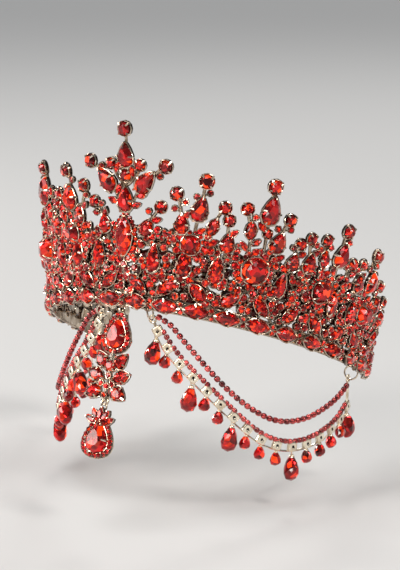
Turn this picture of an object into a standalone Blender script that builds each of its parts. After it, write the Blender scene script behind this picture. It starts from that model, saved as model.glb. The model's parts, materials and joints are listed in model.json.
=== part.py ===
# Bridal crown of pierced silver-coloured metal set with red glass.
# A tall wall of settings stands on a rail round the front and sides of the head and is open at the back.
# A pendant hangs on the forehead in two hinged pieces, and a swag of chain and strings hangs at each side.
# Lengths are in metres. The front faces -Y, the wearer's left is +X, and Z is plumb.
import math

import bmesh
import bpy
import numpy as np
from mathutils import Vector
from mathutils.geometry import delaunay_2d_cdt

# Rim and wall
HALF_WIDTH = 0.0755
HALF_LENGTH = 0.0815
CROWN_HEIGHT = 0.0845
RIM_PITCH = math.radians(24.3)
LEAN_BACK = math.radians(13.0)
FLARE_RIM = math.radians(6.0)
FLARE_TOP = math.radians(14.0)
BAND_REACH = math.radians(114.0)
SHEET = 0.0012
GAP = 0.0003

# Openwork
RAIL_HEIGHT = 0.0070
PIERCED_HEIGHT = 0.0310
ZIGZAG_SHARE = 0.46
WIRE_WIDTH = 0.0014
SETTING_MARGIN = 0.0008
STONES_ROUND = 22
ZIGZAG_STONE_SHARE = 0.78
UPRIGHT_LENGTH_SHARE = 0.98
UPRIGHT_WIDTH_SHARE = 0.84
REAR_START_SHARE = 0.70
REAR_SHARE = 0.62
SMALLEST_HOLE = 1.6e-6

# Stones, length along the point and width across it
CUT_SIDES = 8
SMALL_CUT_SIDES = 6
HALO_SIDES = 12
PEAR_BULGE = 0.42
PEAR_TRIM = 1.03
MARQUISE_TAPER = 0.7
STONE_RISE = 0.42
TABLE_SHARE = 0.55
GIRDLE = 0.0005
ROUND = 0.0060
PEAR_LENGTH = 0.0110
PEAR_WIDTH = 0.0072
MARQUISE_LENGTH = 0.0108
MARQUISE_WIDTH = 0.0052
CENTRE_LENGTH = 0.0182
CENTRE_WIDTH = 0.0080
ROSETTE = 0.0125

# Eyes and rings that link the hanging pieces
EYE_HOLE = 0.0022
EYE_RIM = 0.0011
EYE_RISE = 0.0014
EYE_SIDES = 10
HOLE_SIDES = 8
RING_WIRE = 0.0009
RING_REACH = 0.0023
RING_SIDES = 10
WIRE_SIDES = 5

# Pendant
PENDANT_LEAN = math.radians(21.3)
PENDANT_LENGTH = 0.0715
HALO_LENGTH = 0.0200
HALO_WIDTH = 0.0152
HALO_BAND = 0.0030
HALO_SHIFT_SHARE = 0.2
HEART = 0.0052
LEAF_LENGTH = 0.0086
LEAF_WIDTH = 0.0056
LEAF_FOOT = 0.0020
DROP_LENGTH = 0.0200
DROP_WIDTH = 0.0164
DROP_LINK = 0.0065
FAN_DROP = 0.0062
FAN_REACH = 0.0030
FAN_DISC = 0.0040
FAN_LENGTH = 0.0043
FAN_WIDTH = 0.0021

# Swags
SWAG_INSET = 0.0025
SQUARE = 0.0048
SQUARES = 16
SWAG_WIRE = 0.0009
SEED_RADIUS = 0.0013
BEAD_RADIUS = 0.00115
LARGE_DROP = 0.0125
LARGE_DROP_WIDTH = 0.0076
SMALL_DROP = 0.0068
SMALL_DROP_WIDTH = 0.0054
DROP_HANG_SHARE = 0.62
DROP_LEAN_SHARE = 0.25
LARGE_DROP_CAP = 0.0012
LARGE_DROPS = (0, 3, 6, 10, 15)
STRING_STEP = 0.0075
LINK_DROP = 0.0060
# Each link: its name, the rail's eye and how much further round the swag's eye lies, in degrees
LINKS = [("front", 9.4, 1.2), ("rear", 95.5, -0.6)]

# Routes at the wearer's left, chosen by hand: angle round the head in degrees, height in metres
SEED_ROUTE = [
    (12.95, 0.0327), (17.4, 0.0290), (21.0, 0.0234), (30.0, 0.0096), (36.0, 0.0008), (42.0, -0.0068),
    (48.0, -0.0128), (54.0, -0.0172), (61.0, -0.0195), (69.0, -0.0195), (77.0, -0.0176), (85.0, -0.0150),
    (93.4, -0.0113),
]
CHAIN_ROUTE = [
    (12.6, 0.0262), (17.0, 0.0168), (22.5, 0.0088), (28.0, 0.0015), (33.5, -0.0060), (39.5, -0.0140),
    (45.0, -0.0210), (50.0, -0.0262), (56.0, -0.0300), (62.0, -0.0318), (68.0, -0.0320), (74.0, -0.0311),
    (81.0, -0.0290), (88.0, -0.0260), (94.0, -0.0215),
]

RIM_RADIUS = (HALF_WIDTH + HALF_LENGTH) / 2

RED_GLASS = (0.52, 0.012, 0.016, 1.0)
SILVER = (0.78, 0.71, 0.60, 1.0)


# Scene and materials

def clear_scene():
    for item in list(bpy.data.objects):
        bpy.data.objects.remove(item, do_unlink=True)


def give_material(item, colour, metallic, roughness):
    material = bpy.data.materials.new(item.name + "_finish")
    material.use_nodes = True
    shader = material.node_tree.nodes["Principled BSDF"]
    shader.inputs["Base Color"].default_value = colour
    shader.inputs["Metallic"].default_value = metallic
    shader.inputs["Roughness"].default_value = roughness
    item.data.materials.append(material)


def add_object(name, mesh, red):
    item = bpy.data.objects.new(name, mesh)
    bpy.context.scene.collection.objects.link(item)
    if red:
        give_material(item, RED_GLASS, 0.0, 0.06)
    else:
        give_material(item, SILVER, 1.0, 0.22)
    return item


# Surfaces: each turns flat places (along, up) into points in space

def crown_wall(along, up):
    """The flared wall: along is the arc round the rim, up is the height over its lower edge."""
    angle = along / RIM_RADIUS
    flare = FLARE_RIM + (FLARE_TOP - FLARE_RIM) * up / CROWN_HEIGHT / 2
    outward = np.stack([np.sin(angle), -np.cos(angle), 0 * angle], axis=-1)
    drop = HALF_LENGTH * math.tan(RIM_PITCH) * np.cos(angle)
    foot = np.stack([HALF_WIDTH * np.sin(angle), -HALF_LENGTH * np.cos(angle), drop], axis=-1)
    axis = np.array([0.0, math.sin(LEAN_BACK), math.cos(LEAN_BACK)])
    return foot + up[:, None] * (outward * np.sin(flare)[:, None] + axis * np.cos(flare)[:, None])


def head_side(along, up):
    """The plumb wall at the side of the head on which a swag lies: up is the world height."""
    angle = along / RIM_RADIUS
    x = (HALF_WIDTH - SWAG_INSET) * np.sin(angle)
    y = -(HALF_LENGTH - SWAG_INSET) * np.cos(angle)
    return np.stack([x, y, up], axis=-1)


def forehead(along, up):
    """The flat plane of the pendant, leaning forward on the forehead, with its zero at the top hinge."""
    leaning = np.array([0.0, math.sin(PENDANT_LEAN), math.cos(PENDANT_LEAN)])
    return top_hinge() + along[:, None] * np.array([1.0, 0.0, 0.0]) + up[:, None] * leaning


def point_on(surface, along, up):
    return surface(np.array([along]), np.array([up]))[0]


def lift(surface, places):
    """Places (along, up, proud of the surface) become points in space."""
    places = np.asarray(places, dtype=float)
    along, up, proud = places[:, 0], places[:, 1], places[:, 2]
    step = 1e-5
    across = surface(along + step, up) - surface(along - step, up)
    rising = surface(along, up + step) - surface(along, up - step)
    normal = np.cross(across, rising)
    normal /= np.linalg.norm(normal, axis=1)[:, None]
    return surface(along, up) + normal * proud[:, None]


def arc(degrees):
    return math.radians(degrees) * RIM_RADIUS


# Flat outlines

def cut_outline(kind, length, width, sides=CUT_SIDES):
    """A stone's outline round its middle, its point up: round, pear or marquise."""
    turn = np.arange(sides) * 2 * math.pi / sides
    if kind == "round":
        turn = turn + math.pi / sides
        shape = np.sin(turn)
    elif kind == "pear":
        shape = np.sin(turn) * (1 - PEAR_BULGE * np.cos(turn)) / PEAR_TRIM
    else:
        shape = np.sin(turn) * np.abs(np.sin(turn)) ** MARQUISE_TAPER
    return np.stack([-width / 2 * shape, length / 2 * np.cos(turn)], axis=-1)


def placed(outline, along, up, lean=0.0):
    """An outline turned by lean towards increasing along, then moved to its place."""
    c, s = math.cos(lean), math.sin(lean)
    x = outline[:, 0] * c + outline[:, 1] * s
    y = -outline[:, 0] * s + outline[:, 1] * c
    return np.stack([x + along, y + up], axis=-1)


def wire_outline(points, width):
    """The outline of a flat wire of even width along a polyline."""
    points = np.asarray(points, dtype=float)
    heading = np.gradient(points, axis=0)
    heading /= np.linalg.norm(heading, axis=1)[:, None]
    side = np.stack([-heading[:, 1], heading[:, 0]], axis=-1) * width / 2
    return np.concatenate([points - side, (points + side)[::-1]])


def stem_points(foot, tip, bow, shares):
    """Places at shares of a stem from foot to tip that bows sideways by a share of its length."""
    foot, tip = np.array(foot), np.array(tip)
    share = np.array(shares)[:, None]
    side = np.array([tip[1] - foot[1], foot[0] - tip[0]]) * bow
    return foot + (tip - foot) * share + side * 4 * share * (1 - share)


# Joining flat outlines into one pierced sheet

SAME_PLACE = 2e-6


def triangulate(outlines):
    """All the outlines laid over each other, as points, triangles and the outlines that hold each."""
    points, faces = [], []
    for outline in outlines:
        start = len(points)
        points += [Vector((float(x), float(y))) for x, y in outline]
        faces.append(list(range(start, len(points))))
    result = delaunay_2d_cdt(points, [], faces, 0, SAME_PLACE, True)
    places = np.array([tuple(p) for p in result[0]])
    return places, [tuple(f) for f in result[2]], [set(ids) for ids in result[5]]


def edge_loops(triangles, places):
    """The closed borders of a set of triangles, with the material on the left."""
    edges = {(t[k], t[(k + 1) % 3]) for t in triangles for k in range(3)}
    following = {}
    for a, b in sorted(edges):
        if (b, a) not in edges:
            following.setdefault(a, []).append(b)
    loops = []
    while following:
        start = min(following)
        loop, here, came = [], start, None
        while True:
            loop.append(here)
            options = following[here]
            after = options[0]
            if len(options) > 1 and came is not None:
                back = places[came] - places[here]
                after = max(options, key=lambda b: turn_from(back, places[b] - places[here]))
            options.remove(after)
            if not options:
                del following[here]
            came, here = here, after
            if here == start:
                break
        loops.append(loop)
    return loops


def turn_from(back, ahead):
    angle = math.atan2(ahead[1], ahead[0]) - math.atan2(back[1], back[0])
    return angle % (2 * math.pi)


def area_of(outline):
    x, y = outline[:, 0], outline[:, 1]
    return 0.5 * float(np.sum(x * np.roll(y, -1) - np.roll(x, -1) * y))


def thinned(outline, nearest=4.0e-4, flattest=5.0e-5, longest=7.0e-3):
    """The outline without points that lie almost on their neighbours or on a short line between them."""
    kept = list(outline)
    changed = True
    while changed and len(kept) > 4:
        changed = False
        for k in range(len(kept)):
            before, here, after = kept[k - 1], kept[k], kept[(k + 1) % len(kept)]
            span = after - before
            length = max(float(np.hypot(*span)), 1e-9)
            off = abs(span[0] * (here[1] - before[1]) - span[1] * (here[0] - before[0])) / length
            flat = off < flattest and length < longest
            if flat or float(np.hypot(*(here - before))) < nearest:
                kept.pop(k)
                changed = True
                break
    return np.array(kept)


def joined_outlines(plates, cuts):
    """One outer border and its holes for all plates laid together, less the cuts."""
    places, triangles, held = triangulate(plates + cuts)
    solid = [t for t, ids in zip(triangles, held)
             if ids and min(ids) < len(plates) and max(ids) < len(plates)]
    loops = [thinned(places[loop]) for loop in edge_loops(solid, places)]
    outer = max(loops, key=area_of)
    holes = [loop for loop in loops if area_of(loop) < -SMALLEST_HOLE]
    return [outer] + holes


class Sheet:
    """Corners and faces of a pierced sheet while it is put together."""

    def __init__(self, thick):
        self.thick = thick
        self.spots = []
        self.faces = []
        self.corners = {1: {}, -1: {}}

    def spot(self, place, proud):
        self.spots.append((place[0], place[1], proud))
        return len(self.spots) - 1

    def corner(self, place, side):
        key = (round(place[0] * 1e6), round(place[1] * 1e6))
        known = self.corners[side]
        if key not in known:
            known[key] = self.spot(place, side * self.thick / 2)
        return known[key]

    def add(self, face, side):
        self.faces.append(face[::side])

    def raise_stone(self, stone, loop, side):
        """Facets from the stone's outline on the sheet up to its table."""
        middle = stone["outline"].mean(axis=0)
        proud = side * (self.thick / 2 + stone["rise"])
        ring = [self.corner(place, side) for place in loop]
        table = [self.spot(middle + (place - middle) * TABLE_SHARE, proud) for place in loop]
        for k in range(len(ring)):
            after = (k + 1) % len(ring)
            self.add([ring[k], ring[after], table[after], table[k]], side)
        self.add(table, side)

    def add_side(self, borders, stones, side):
        """The face (1) or the back (-1) of the sheet inside its borders; it returns its true borders."""
        outlines = borders + [stone["outline"] for stone in stones]
        places, triangles, held = triangulate([o if area_of(o) > 0 else o[::-1] for o in outlines])
        plain, raised = [], {}
        for triangle, ids in zip(triangles, held):
            if 0 not in ids or any(1 <= k < len(borders) for k in ids):
                continue
            stone_ids = [k - len(borders) for k in ids if k >= len(borders)]
            (raised.setdefault(min(stone_ids), []) if stone_ids else plain).append(triangle)
        for triangle in plain:
            self.add([self.corner(places[k], side) for k in triangle], side)
        everything = list(plain)
        for which, cluster in raised.items():
            everything += cluster
            for loop in edge_loops(cluster, places):
                self.raise_stone(stones[which], places[loop], side)
        return [places[loop] for loop in edge_loops(everything, places)]

    def add_edges(self, borders):
        """The narrow walls along every border."""
        for border in borders:
            for here, after in zip(border, np.roll(border, -1, axis=0)):
                self.faces.append([self.corner(here, -1), self.corner(after, -1),
                                   self.corner(after, 1), self.corner(here, 1)])


def pierced_sheet(name, surface, plates, cuts, stones, thick=SHEET):
    """A sheet of plates on a surface with stones raised on its face, and on its back where both is set."""
    sheet = Sheet(thick)
    borders = sheet.add_side(joined_outlines(plates, cuts), stones, 1)
    borders.sort(key=lambda border: -area_of(border))
    sheet.add_side(borders, [stone for stone in stones if stone["both"]], -1)
    sheet.add_edges(borders)
    mesh = bpy.data.meshes.new(name)
    mesh.from_pydata(lift(surface, sheet.spots).tolist(), [], sheet.faces)
    return tidy_mesh(mesh)


def tidy_mesh(mesh):
    shape = bmesh.new()
    shape.from_mesh(mesh)
    bmesh.ops.triangulate(shape, faces=[f for f in shape.faces if len(f.verts) > 3])
    bmesh.ops.recalc_face_normals(shape, faces=shape.faces)
    shape.to_mesh(mesh)
    shape.free()
    return mesh


def raised_stone(kind, along, up, length, width, lean=0.0, both=False, sides=CUT_SIDES):
    outline = placed(cut_outline(kind, length, width, sides), along, up, lean)
    return {"outline": outline, "rise": STONE_RISE * width, "both": both}


def loose_stone(name, surface, kind, along, up, length, width, lean=0.0):
    """A cut stone of its own, with a flat back just clear of the sheet, a girdle and a table."""
    outline = placed(cut_outline(kind, length, width), along, up, lean)
    middle = outline.mean(axis=0)
    back = SHEET / 2 + GAP
    count = len(outline)
    levels = [(1.0, back), (1.0, back + GIRDLE), (TABLE_SHARE, back + STONE_RISE * width)]
    spots = [(*(middle + (p - middle) * share), proud) for share, proud in levels for p in outline]
    faces = [list(range(count))[::-1], list(range(2 * count, 3 * count))]
    for level in range(2):
        for k in range(count):
            after = (k + 1) % count
            low, high = level * count, (level + 1) * count
            faces.append([low + k, low + after, high + after, high + k])
    mesh = bpy.data.meshes.new(name)
    mesh.from_pydata(lift(surface, spots).tolist(), [], faces)
    return add_object(name, tidy_mesh(mesh), True)


# Crown wall

# Each sprig: foot angle, foot height as a share of the pierced wall's, tip angle, tip height as a share
# of the crown's, bow, tip size, then its stones as (kind, share of the stem, length, width), where sizes
# are shares of the named stones.
SPRIGS = [
    (0.3, 1.85, 5.0, 0.800, 0.08, 0.76, []),
    (0.3, 1.36, 13.0, 0.810, -0.08, 0.92, [("pear", 0.62, 1.10, 1.00)]),
    (6.5, 0.98, 12.0, 0.580, -0.08, 0.82, [("pear", 0.40, 0.72, 0.80)]),
    (18.6, 0.98, 16.8, 0.669, 0.06, 0.90, [("pear", 0.46, 0.80, 0.82)]),
    (22.5, 1.09, 25.2, 0.763, 0.00, 1.00, [("pear", 0.56, 1.02, 1.00)]),
    (27.0, 0.98, 31.4, 0.639, -0.06, 0.84, [("marquise", 0.55, 0.82, 0.90)]),
    (33.5, 0.98, 33.0, 0.574, 0.00, 0.80, [("pear", 0.42, 0.80, 0.84)]),
    (40.0, 0.98, 38.0, 0.657, 0.06, 0.84, [("marquise", 0.62, 0.78, 0.95)]),
    (45.0, 0.98, 45.0, 0.817, 0.00, 1.00, [("pear", 0.70, 1.20, 1.10), ("round", 0.42, 0.62, 0.62)]),
    (48.5, 0.98, 51.4, 0.657, -0.06, 0.84, [("pear", 0.52, 0.86, 0.90)]),
    (54.5, 0.98, 56.4, 0.544, -0.04, 0.78, [("pear", 0.40, 0.74, 0.80)]),
    (60.5, 0.98, 59.4, 0.592, 0.04, 0.84, [("pear", 0.42, 0.82, 0.84)]),
    (66.0, 0.98, 65.2, 0.612, 0.00, 0.84, [("marquise", 0.56, 0.80, 1.00)]),
    (71.5, 0.98, 72.4, 0.698, 0.00, 1.00, [("pear", 0.58, 1.02, 1.00)]),
    (76.5, 0.98, 78.0, 0.538, -0.05, 0.84, []),
    (82.5, 0.98, 83.0, 0.560, 0.00, 0.80, [("pear", 0.42, 0.80, 0.84)]),
    (89.5, 0.86, 90.0, 0.640, 0.00, 1.00, [("pear", 0.52, 1.00, 1.00)]),
    (97.5, 0.76, 98.5, 0.500, 0.00, 0.84, [("pear", 0.46, 0.80, 0.84)]),
    (106.5, 0.65, 107.5, 0.440, 0.00, 0.84, [("pear", 0.50, 0.80, 0.84)]),
]
# Sprigs whose stones are separate pieces, by their place in the table
SPIRES = {1: "inner_sprig", 4: "spire_1", 8: "spire_2", 9: "outer_sprig", 13: "spire_3", 16: "spire_4"}
# Rosettes on the wall: angle, height share, size share
ROSETTES = [(22.2, 0.400, 0.68), (42.8, 0.335, 1.00), (66.5, 0.325, 0.80), (89.5, 0.300, 0.80)]


def stone_size(kind, length, width):
    if kind == "round":
        return ROUND * length, ROUND * width
    if kind == "pear":
        return PEAR_LENGTH * length, PEAR_WIDTH * width
    return MARQUISE_LENGTH * length, MARQUISE_WIDTH * width


def rear_share(along):
    """The pierced wall is lower towards its open ends."""
    angle = abs(along) / RIM_RADIUS
    start = REAR_START_SHARE * BAND_REACH
    fade = np.clip((angle - start) / (BAND_REACH - start), 0.0, 1.0)
    return 1.0 - (1.0 - REAR_SHARE) * fade


def stand_apart(outline, other):
    """Whether a straight line fits between two outlines."""
    for edges in (outline, other):
        for heading in np.roll(edges, -1, axis=0) - edges:
            normal = np.array([heading[1], -heading[0]])
            if (outline @ normal).max() < (other @ normal).min():
                return True
            if (other @ normal).max() < (outline @ normal).min():
                return True
    return False


class Layout:
    """The plates, cuts and stones of one pierced sheet while it is laid out."""

    def __init__(self):
        self.plates = []
        self.cuts = []
        self.raised = []
        self.loose = []

    def set_stone(self, kind, along, up, length, width, lean=0.0, name=None):
        if name:
            rim = 2 * SETTING_MARGIN
            outline = cut_outline(kind, length + rim, width + rim)
            self.plates.append(placed(outline, along, up, lean))
            self.loose.append((name, kind, along, up, length, width, lean))
            return
        stone = raised_stone(kind, along, up, length, width, lean)
        self.plates.append(stone["outline"])
        self.raised.append(stone)

    def is_clear(self, kind, along, up, length, width):
        """Whether a stone would stand clear of the loose stones' settings."""
        rim = 2 * SETTING_MARGIN
        outline = placed(cut_outline(kind, length, width), along, up)
        for _, other_kind, other_along, other_up, other_length, other_width, lean in self.loose:
            other = cut_outline(other_kind, other_length + rim, other_width + rim)
            if not stand_apart(outline, placed(other, other_along, other_up, lean)):
                return False
        return True

    def add_wire(self, points, width=WIRE_WIDTH):
        self.plates.append(wire_outline(points, width))


def lay_rail(layout):
    """The rail with its marquises, a zigzag of marquises over it, and a row of upright pears."""
    reach = BAND_REACH * RIM_RADIUS
    posts = np.linspace(-reach, reach, STONES_ROUND + 1)
    marks = np.linspace(-reach, reach, 2 * STONES_ROUND + 1)
    lower = np.stack([marks, 0 * marks], axis=-1)
    upper = np.stack([posts, 0 * posts + RAIL_HEIGHT], axis=-1)
    layout.plates.append(np.concatenate([lower, upper[::-1]]))
    middle_line = (RAIL_HEIGHT + ZIGZAG_SHARE * (PIERCED_HEIGHT - RAIL_HEIGHT)) * rear_share(posts)
    top_line = PIERCED_HEIGHT * rear_share(posts)
    layout.add_wire(np.stack([posts, middle_line], axis=-1))
    layout.add_wire(np.stack([posts, top_line], axis=-1))
    for k in range(STONES_ROUND):
        along = (posts[k] + posts[k + 1]) / 2
        layout.set_stone("marquise", along, RAIL_HEIGHT / 2, MARQUISE_LENGTH, MARQUISE_WIDTH, math.pi / 2)
        rising = k % 2 == 0
        low = np.array([posts[k] if rising else posts[k + 1], RAIL_HEIGHT - WIRE_WIDTH / 2])
        high = np.array([posts[k + 1], middle_line[k + 1]] if rising else [posts[k], middle_line[k]])
        layout.add_wire([low, high])
        middle = (low + high) / 2
        lean = math.atan2(high[0] - low[0], high[1] - low[1])
        length = min(MARQUISE_LENGTH, ZIGZAG_STONE_SHARE * float(np.linalg.norm(high - low)))
        layout.set_stone("marquise", middle[0], middle[1], length, MARQUISE_WIDTH, lean)
    for k in range(1, STONES_ROUND):
        height = (middle_line[k] + top_line[k]) / 2
        length = (top_line[k] - middle_line[k]) * UPRIGHT_LENGTH_SHARE
        width = PEAR_WIDTH * UPRIGHT_WIDTH_SHARE
        if layout.is_clear("pear", posts[k], height, length, width):
            layout.set_stone("pear", posts[k], height, length, width)
    for end in (-reach, reach):
        layout.add_wire([(end, 0.0), (end, PIERCED_HEIGHT * rear_share(end))], 2 * WIRE_WIDTH)


def lay_centre(layout):
    """The tall middle spire over the large marquise."""
    names = [
        ("centre_tip", "round", 1.000, ROUND, ROUND),
        ("centre_upper_pear", "pear", 0.850, PEAR_LENGTH, PEAR_WIDTH),
        ("centre_round", "round", 0.735, ROUND * 0.9, ROUND * 0.9),
        ("centre_lower_pear", "pear", 0.600, PEAR_LENGTH, PEAR_WIDTH),
        ("centre_marquise", "marquise", 0.395, CENTRE_LENGTH, CENTRE_WIDTH),
    ]
    for name, kind, share, length, width in names:
        layout.set_stone(kind, 0.0, share * CROWN_HEIGHT, length, width, 0.0, name)
    layout.add_wire([(0.0, RAIL_HEIGHT), (0.0, 0.5 * CROWN_HEIGHT), (0.0, CROWN_HEIGHT)])


def lay_rosettes(layout, side, hand):
    """The large round stones of one side, mirrored by its sign."""
    for number, (angle, height, size) in enumerate(ROSETTES):
        across = ROSETTE * size
        layout.set_stone("round", side * arc(angle), height * CROWN_HEIGHT, across, across, 0.0,
                       f"{hand}_rosette_{number + 1}")


def lay_sprigs(layout, side, hand):
    """All sprigs of one side, mirrored by its sign."""
    for number, (foot_angle, foot, tip_angle, tip, bow, tip_size, stones) in enumerate(SPRIGS):
        start = (side * arc(foot_angle), foot * PIERCED_HEIGHT)
        end = (side * arc(tip_angle), tip * CROWN_HEIGHT)
        layout.add_wire(stem_points(start, end, side * bow, (0.0, 0.5, 1.0) if bow else (0.0, 1.0)))
        spire = SPIRES.get(number)
        name = f"{hand}_{spire}_tip" if spire else None
        layout.set_stone("round", end[0], end[1], ROUND * tip_size, ROUND * tip_size, 0.0, name)
        for order, (kind, share, long_share, wide_share) in enumerate(stones):
            before, here, after = stem_points(start, end, side * bow, (share - 0.02, share, share + 0.02))
            lean = math.atan2(*(after - before))
            length, width = stone_size(kind, long_share, wide_share)
            name = f"{hand}_{spire}_{kind}" if spire and order == 0 else None
            layout.set_stone(kind, here[0], here[1], length, width, lean, name)


def top_hinge():
    """The middle of the eye in the rail at the front, on the sheet's middle surface."""
    return point_on(crown_wall, 0.0, EYE_RISE)


def lay_eye(layout, along, up):
    """A round eye with a hole."""
    outer = EYE_HOLE + 2 * EYE_RIM
    layout.plates.append(placed(cut_outline("round", outer, outer, EYE_SIDES), along, up))
    layout.cuts.append(placed(cut_outline("round", EYE_HOLE, EYE_HOLE, HOLE_SIDES), along, up))


def finish_layout(layout, name, surface):
    """The pierced sheet of a layout and its loose stones."""
    mesh = pierced_sheet(name, surface, layout.plates, layout.cuts, layout.raised)
    item = add_object(name, mesh, False)
    for stone_name, kind, along, up, length, width, lean in layout.loose:
        loose_stone(stone_name, surface, kind, along, up, length, width, lean)
    return item


def build_crown():
    layout = Layout()
    lay_centre(layout)
    lay_rosettes(layout, 1, "left")
    lay_rosettes(layout, -1, "right")
    lay_rail(layout)
    lay_sprigs(layout, 1, "left")
    lay_sprigs(layout, -1, "right")
    lay_eye(layout, 0.0, EYE_RISE)
    for side in (-1, 1):
        for _, angle, _ in LINKS:
            lay_eye(layout, side * arc(angle), EYE_RISE)
        lay_eye(layout, side * (BAND_REACH * RIM_RADIUS + EYE_HOLE / 2 + EYE_RIM), RAIL_HEIGHT / 2)
    finish_layout(layout, "crown_frame", crown_wall)


# Rings

def ring_mesh(name, centre, toward, normal, radius):
    """A wire ring whose plane holds the two directions."""
    toward = toward / np.linalg.norm(toward)
    normal = normal - toward * float(np.dot(normal, toward))
    normal /= np.linalg.norm(normal)
    axis = np.cross(toward, normal)
    turn = np.arange(RING_SIDES)[:, None] * 2 * math.pi / RING_SIDES
    wire = np.arange(WIRE_SIDES)[None, :] * 2 * math.pi / WIRE_SIDES
    spread = radius + RING_WIRE / 2 * np.cos(wire)
    places = centre + (spread * np.cos(turn))[..., None] * toward
    places = places + (spread * np.sin(turn))[..., None] * normal
    places = places + (RING_WIRE / 2 * np.sin(wire) + 0 * turn)[..., None] * axis
    faces = []
    for i in range(RING_SIDES):
        for j in range(WIRE_SIDES):
            after, beside = (i + 1) % RING_SIDES, (j + 1) % WIRE_SIDES
            faces.append([i * WIRE_SIDES + j, after * WIRE_SIDES + j,
                          after * WIRE_SIDES + beside, i * WIRE_SIDES + beside])
    mesh = bpy.data.meshes.new(name)
    mesh.from_pydata(places.reshape(-1, 3).tolist(), [], faces)
    return tidy_mesh(mesh)


def fuse(item, mesh):
    """Another closed mesh becomes part of the object."""
    joined = bpy.data.objects.new(item.name + "_ring", mesh)
    bpy.context.scene.collection.objects.link(joined)
    joined.hide_render = True
    joined.display_type = "WIRE"
    union = item.modifiers.new("ring", "BOOLEAN")
    union.operation = "UNION"
    union.solver = "EXACT"
    union.object = joined


def fuse_hinge_ring(item, hinge):
    """The ring of a hanging piece: it passes through the eye above and is soldered to the piece."""
    down = -(lift(forehead, [(0.0, 1.0, 0.0)])[0] - lift(forehead, [(0.0, 0.0, 0.0)])[0])
    centre = hinge + down * RING_REACH
    front = np.cross(np.array([1.0, 0.0, 0.0]), down)
    fuse(item, ring_mesh(item.name + "_ring", centre, down, front, RING_REACH))


# Pendant

# Leaves of the upper piece: kind, across and down as shares of the pendant's length, length and width
# shares of a leaf, lean in degrees
PENDANT_LEAVES = [
    ("pear", 0.070, 0.366, 0.86, 0.90, 38.0),
    ("marquise", 0.092, 0.469, 1.00, 0.95, 68.0),
    ("pear", 0.092, 0.580, 0.82, 1.05, 120.0),
]
HEART_SHARE = 0.403
FAN_LEANS = (-64.0, -32.0, 0.0, 32.0, 64.0)


def haloed_pear(layout, name, middle, length, width):
    """A pear plate that carries a ring of small stones round one large stone."""
    layout.plates.append(placed(cut_outline("pear", length, width, HALO_SIDES), 0.0, middle))
    inner = (length - 2 * HALO_BAND, width - 2 * HALO_BAND)
    layout.loose.append((name, "pear", 0.0, middle - HALO_BAND * HALO_SHIFT_SHARE, *inner, 0.0))


def build_pendant():
    """The upper piece, hung from the rail: a haloed pear over a spray of leaves."""
    layout = Layout()
    halo_middle = -(RING_REACH * 2 + HALO_LENGTH / 2 - RING_WIRE)
    haloed_pear(layout, "pendant_halo_stone", halo_middle, HALO_LENGTH, HALO_WIDTH)
    layout.add_wire([(0.0, halo_middle), (0.0, lower_eye())], 2 * WIRE_WIDTH)
    layout.set_stone("round", 0.0, -HEART_SHARE * PENDANT_LENGTH, HEART, HEART, 0.0, "pendant_heart_stone")
    for side in (-1, 1):
        for kind, across_share, down_share, long_share, wide_share, lean in PENDANT_LEAVES:
            across, down = side * across_share * PENDANT_LENGTH, down_share * PENDANT_LENGTH
            layout.add_wire([(0.0, -down - LEAF_FOOT), (across / 2, -down - LEAF_FOOT / 2), (across, -down)])
            layout.set_stone(kind, across, -down, LEAF_LENGTH * long_share, LEAF_WIDTH * wide_share,
                             side * math.radians(lean))
    lay_eye(layout, 0.0, lower_eye())
    item = finish_layout(layout, "pendant_frame", forehead)
    fuse_hinge_ring(item, top_hinge())


def lower_eye():
    """Height of the eye that carries the drop, below the top hinge."""
    return -(PENDANT_LENGTH - DROP_LENGTH - DROP_LINK)


def drop_hinge():
    return point_on(forehead, 0.0, lower_eye())


def build_drop():
    """The lower piece: a fan of small stones over a large haloed drop."""
    layout = Layout()
    middle = -(PENDANT_LENGTH - DROP_LENGTH / 2)
    haloed_pear(layout, "drop_stone", middle, DROP_LENGTH, DROP_WIDTH)
    top = lower_eye() - 2 * RING_REACH
    fan_middle = top - FAN_DROP
    layout.add_wire([(0.0, top), (0.0, middle)], WIRE_WIDTH)
    layout.plates.append(placed(cut_outline("round", FAN_DISC, FAN_DISC), 0.0, fan_middle))
    for lean in FAN_LEANS:
        angle = math.radians(lean)
        layout.set_stone("marquise", FAN_REACH * math.sin(angle), fan_middle + FAN_REACH * math.cos(angle),
                         FAN_LENGTH, FAN_WIDTH, angle)
    item = finish_layout(layout, "drop_frame", forehead)
    fuse_hinge_ring(item, drop_hinge())


# Swags

def flat_route(route, side):
    """Route points as flat places on the side of the head."""
    return np.array([(side * arc(angle), height) for angle, height in route])


SPAN_STEPS = 12


def smooth_route(points, spacing):
    """Even steps along a smooth curve through the route's points."""
    padded = np.concatenate([[2 * points[0] - points[1]], points, [2 * points[-1] - points[-2]]])
    share = np.linspace(0, 1, SPAN_STEPS, endpoint=False)[:, None]
    dense = []
    for a, b, c, d in zip(padded, padded[1:], padded[2:], padded[3:]):
        dense.append(0.5 * (2 * b + (c - a) * share + (2 * a - 5 * b + 4 * c - d) * share ** 2
                            + (3 * b - a - 3 * c + d) * share ** 3))
    dense = np.concatenate(dense + [points[-1:]])
    length = np.concatenate([[0.0], np.cumsum(np.linalg.norm(np.diff(dense, axis=0), axis=1))])
    count = max(int(round(length[-1] / spacing)), 2)
    marks = np.linspace(0, length[-1], count + 1)
    return np.stack([np.interp(marks, length, dense[:, k]) for k in range(2)], axis=-1)


def add_string(name, places, radius):
    """A string of beads as a plain tube through places in space."""
    curve = bpy.data.curves.new(name, "CURVE")
    curve.dimensions = "3D"
    curve.bevel_depth = radius
    curve.bevel_resolution = 2
    curve.use_fill_caps = True
    spline = curve.splines.new("POLY")
    spline.points.add(len(places) - 1)
    for point, place in zip(spline.points, places):
        point.co = (*place, 1.0)
    add_object(name, curve, True)


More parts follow.
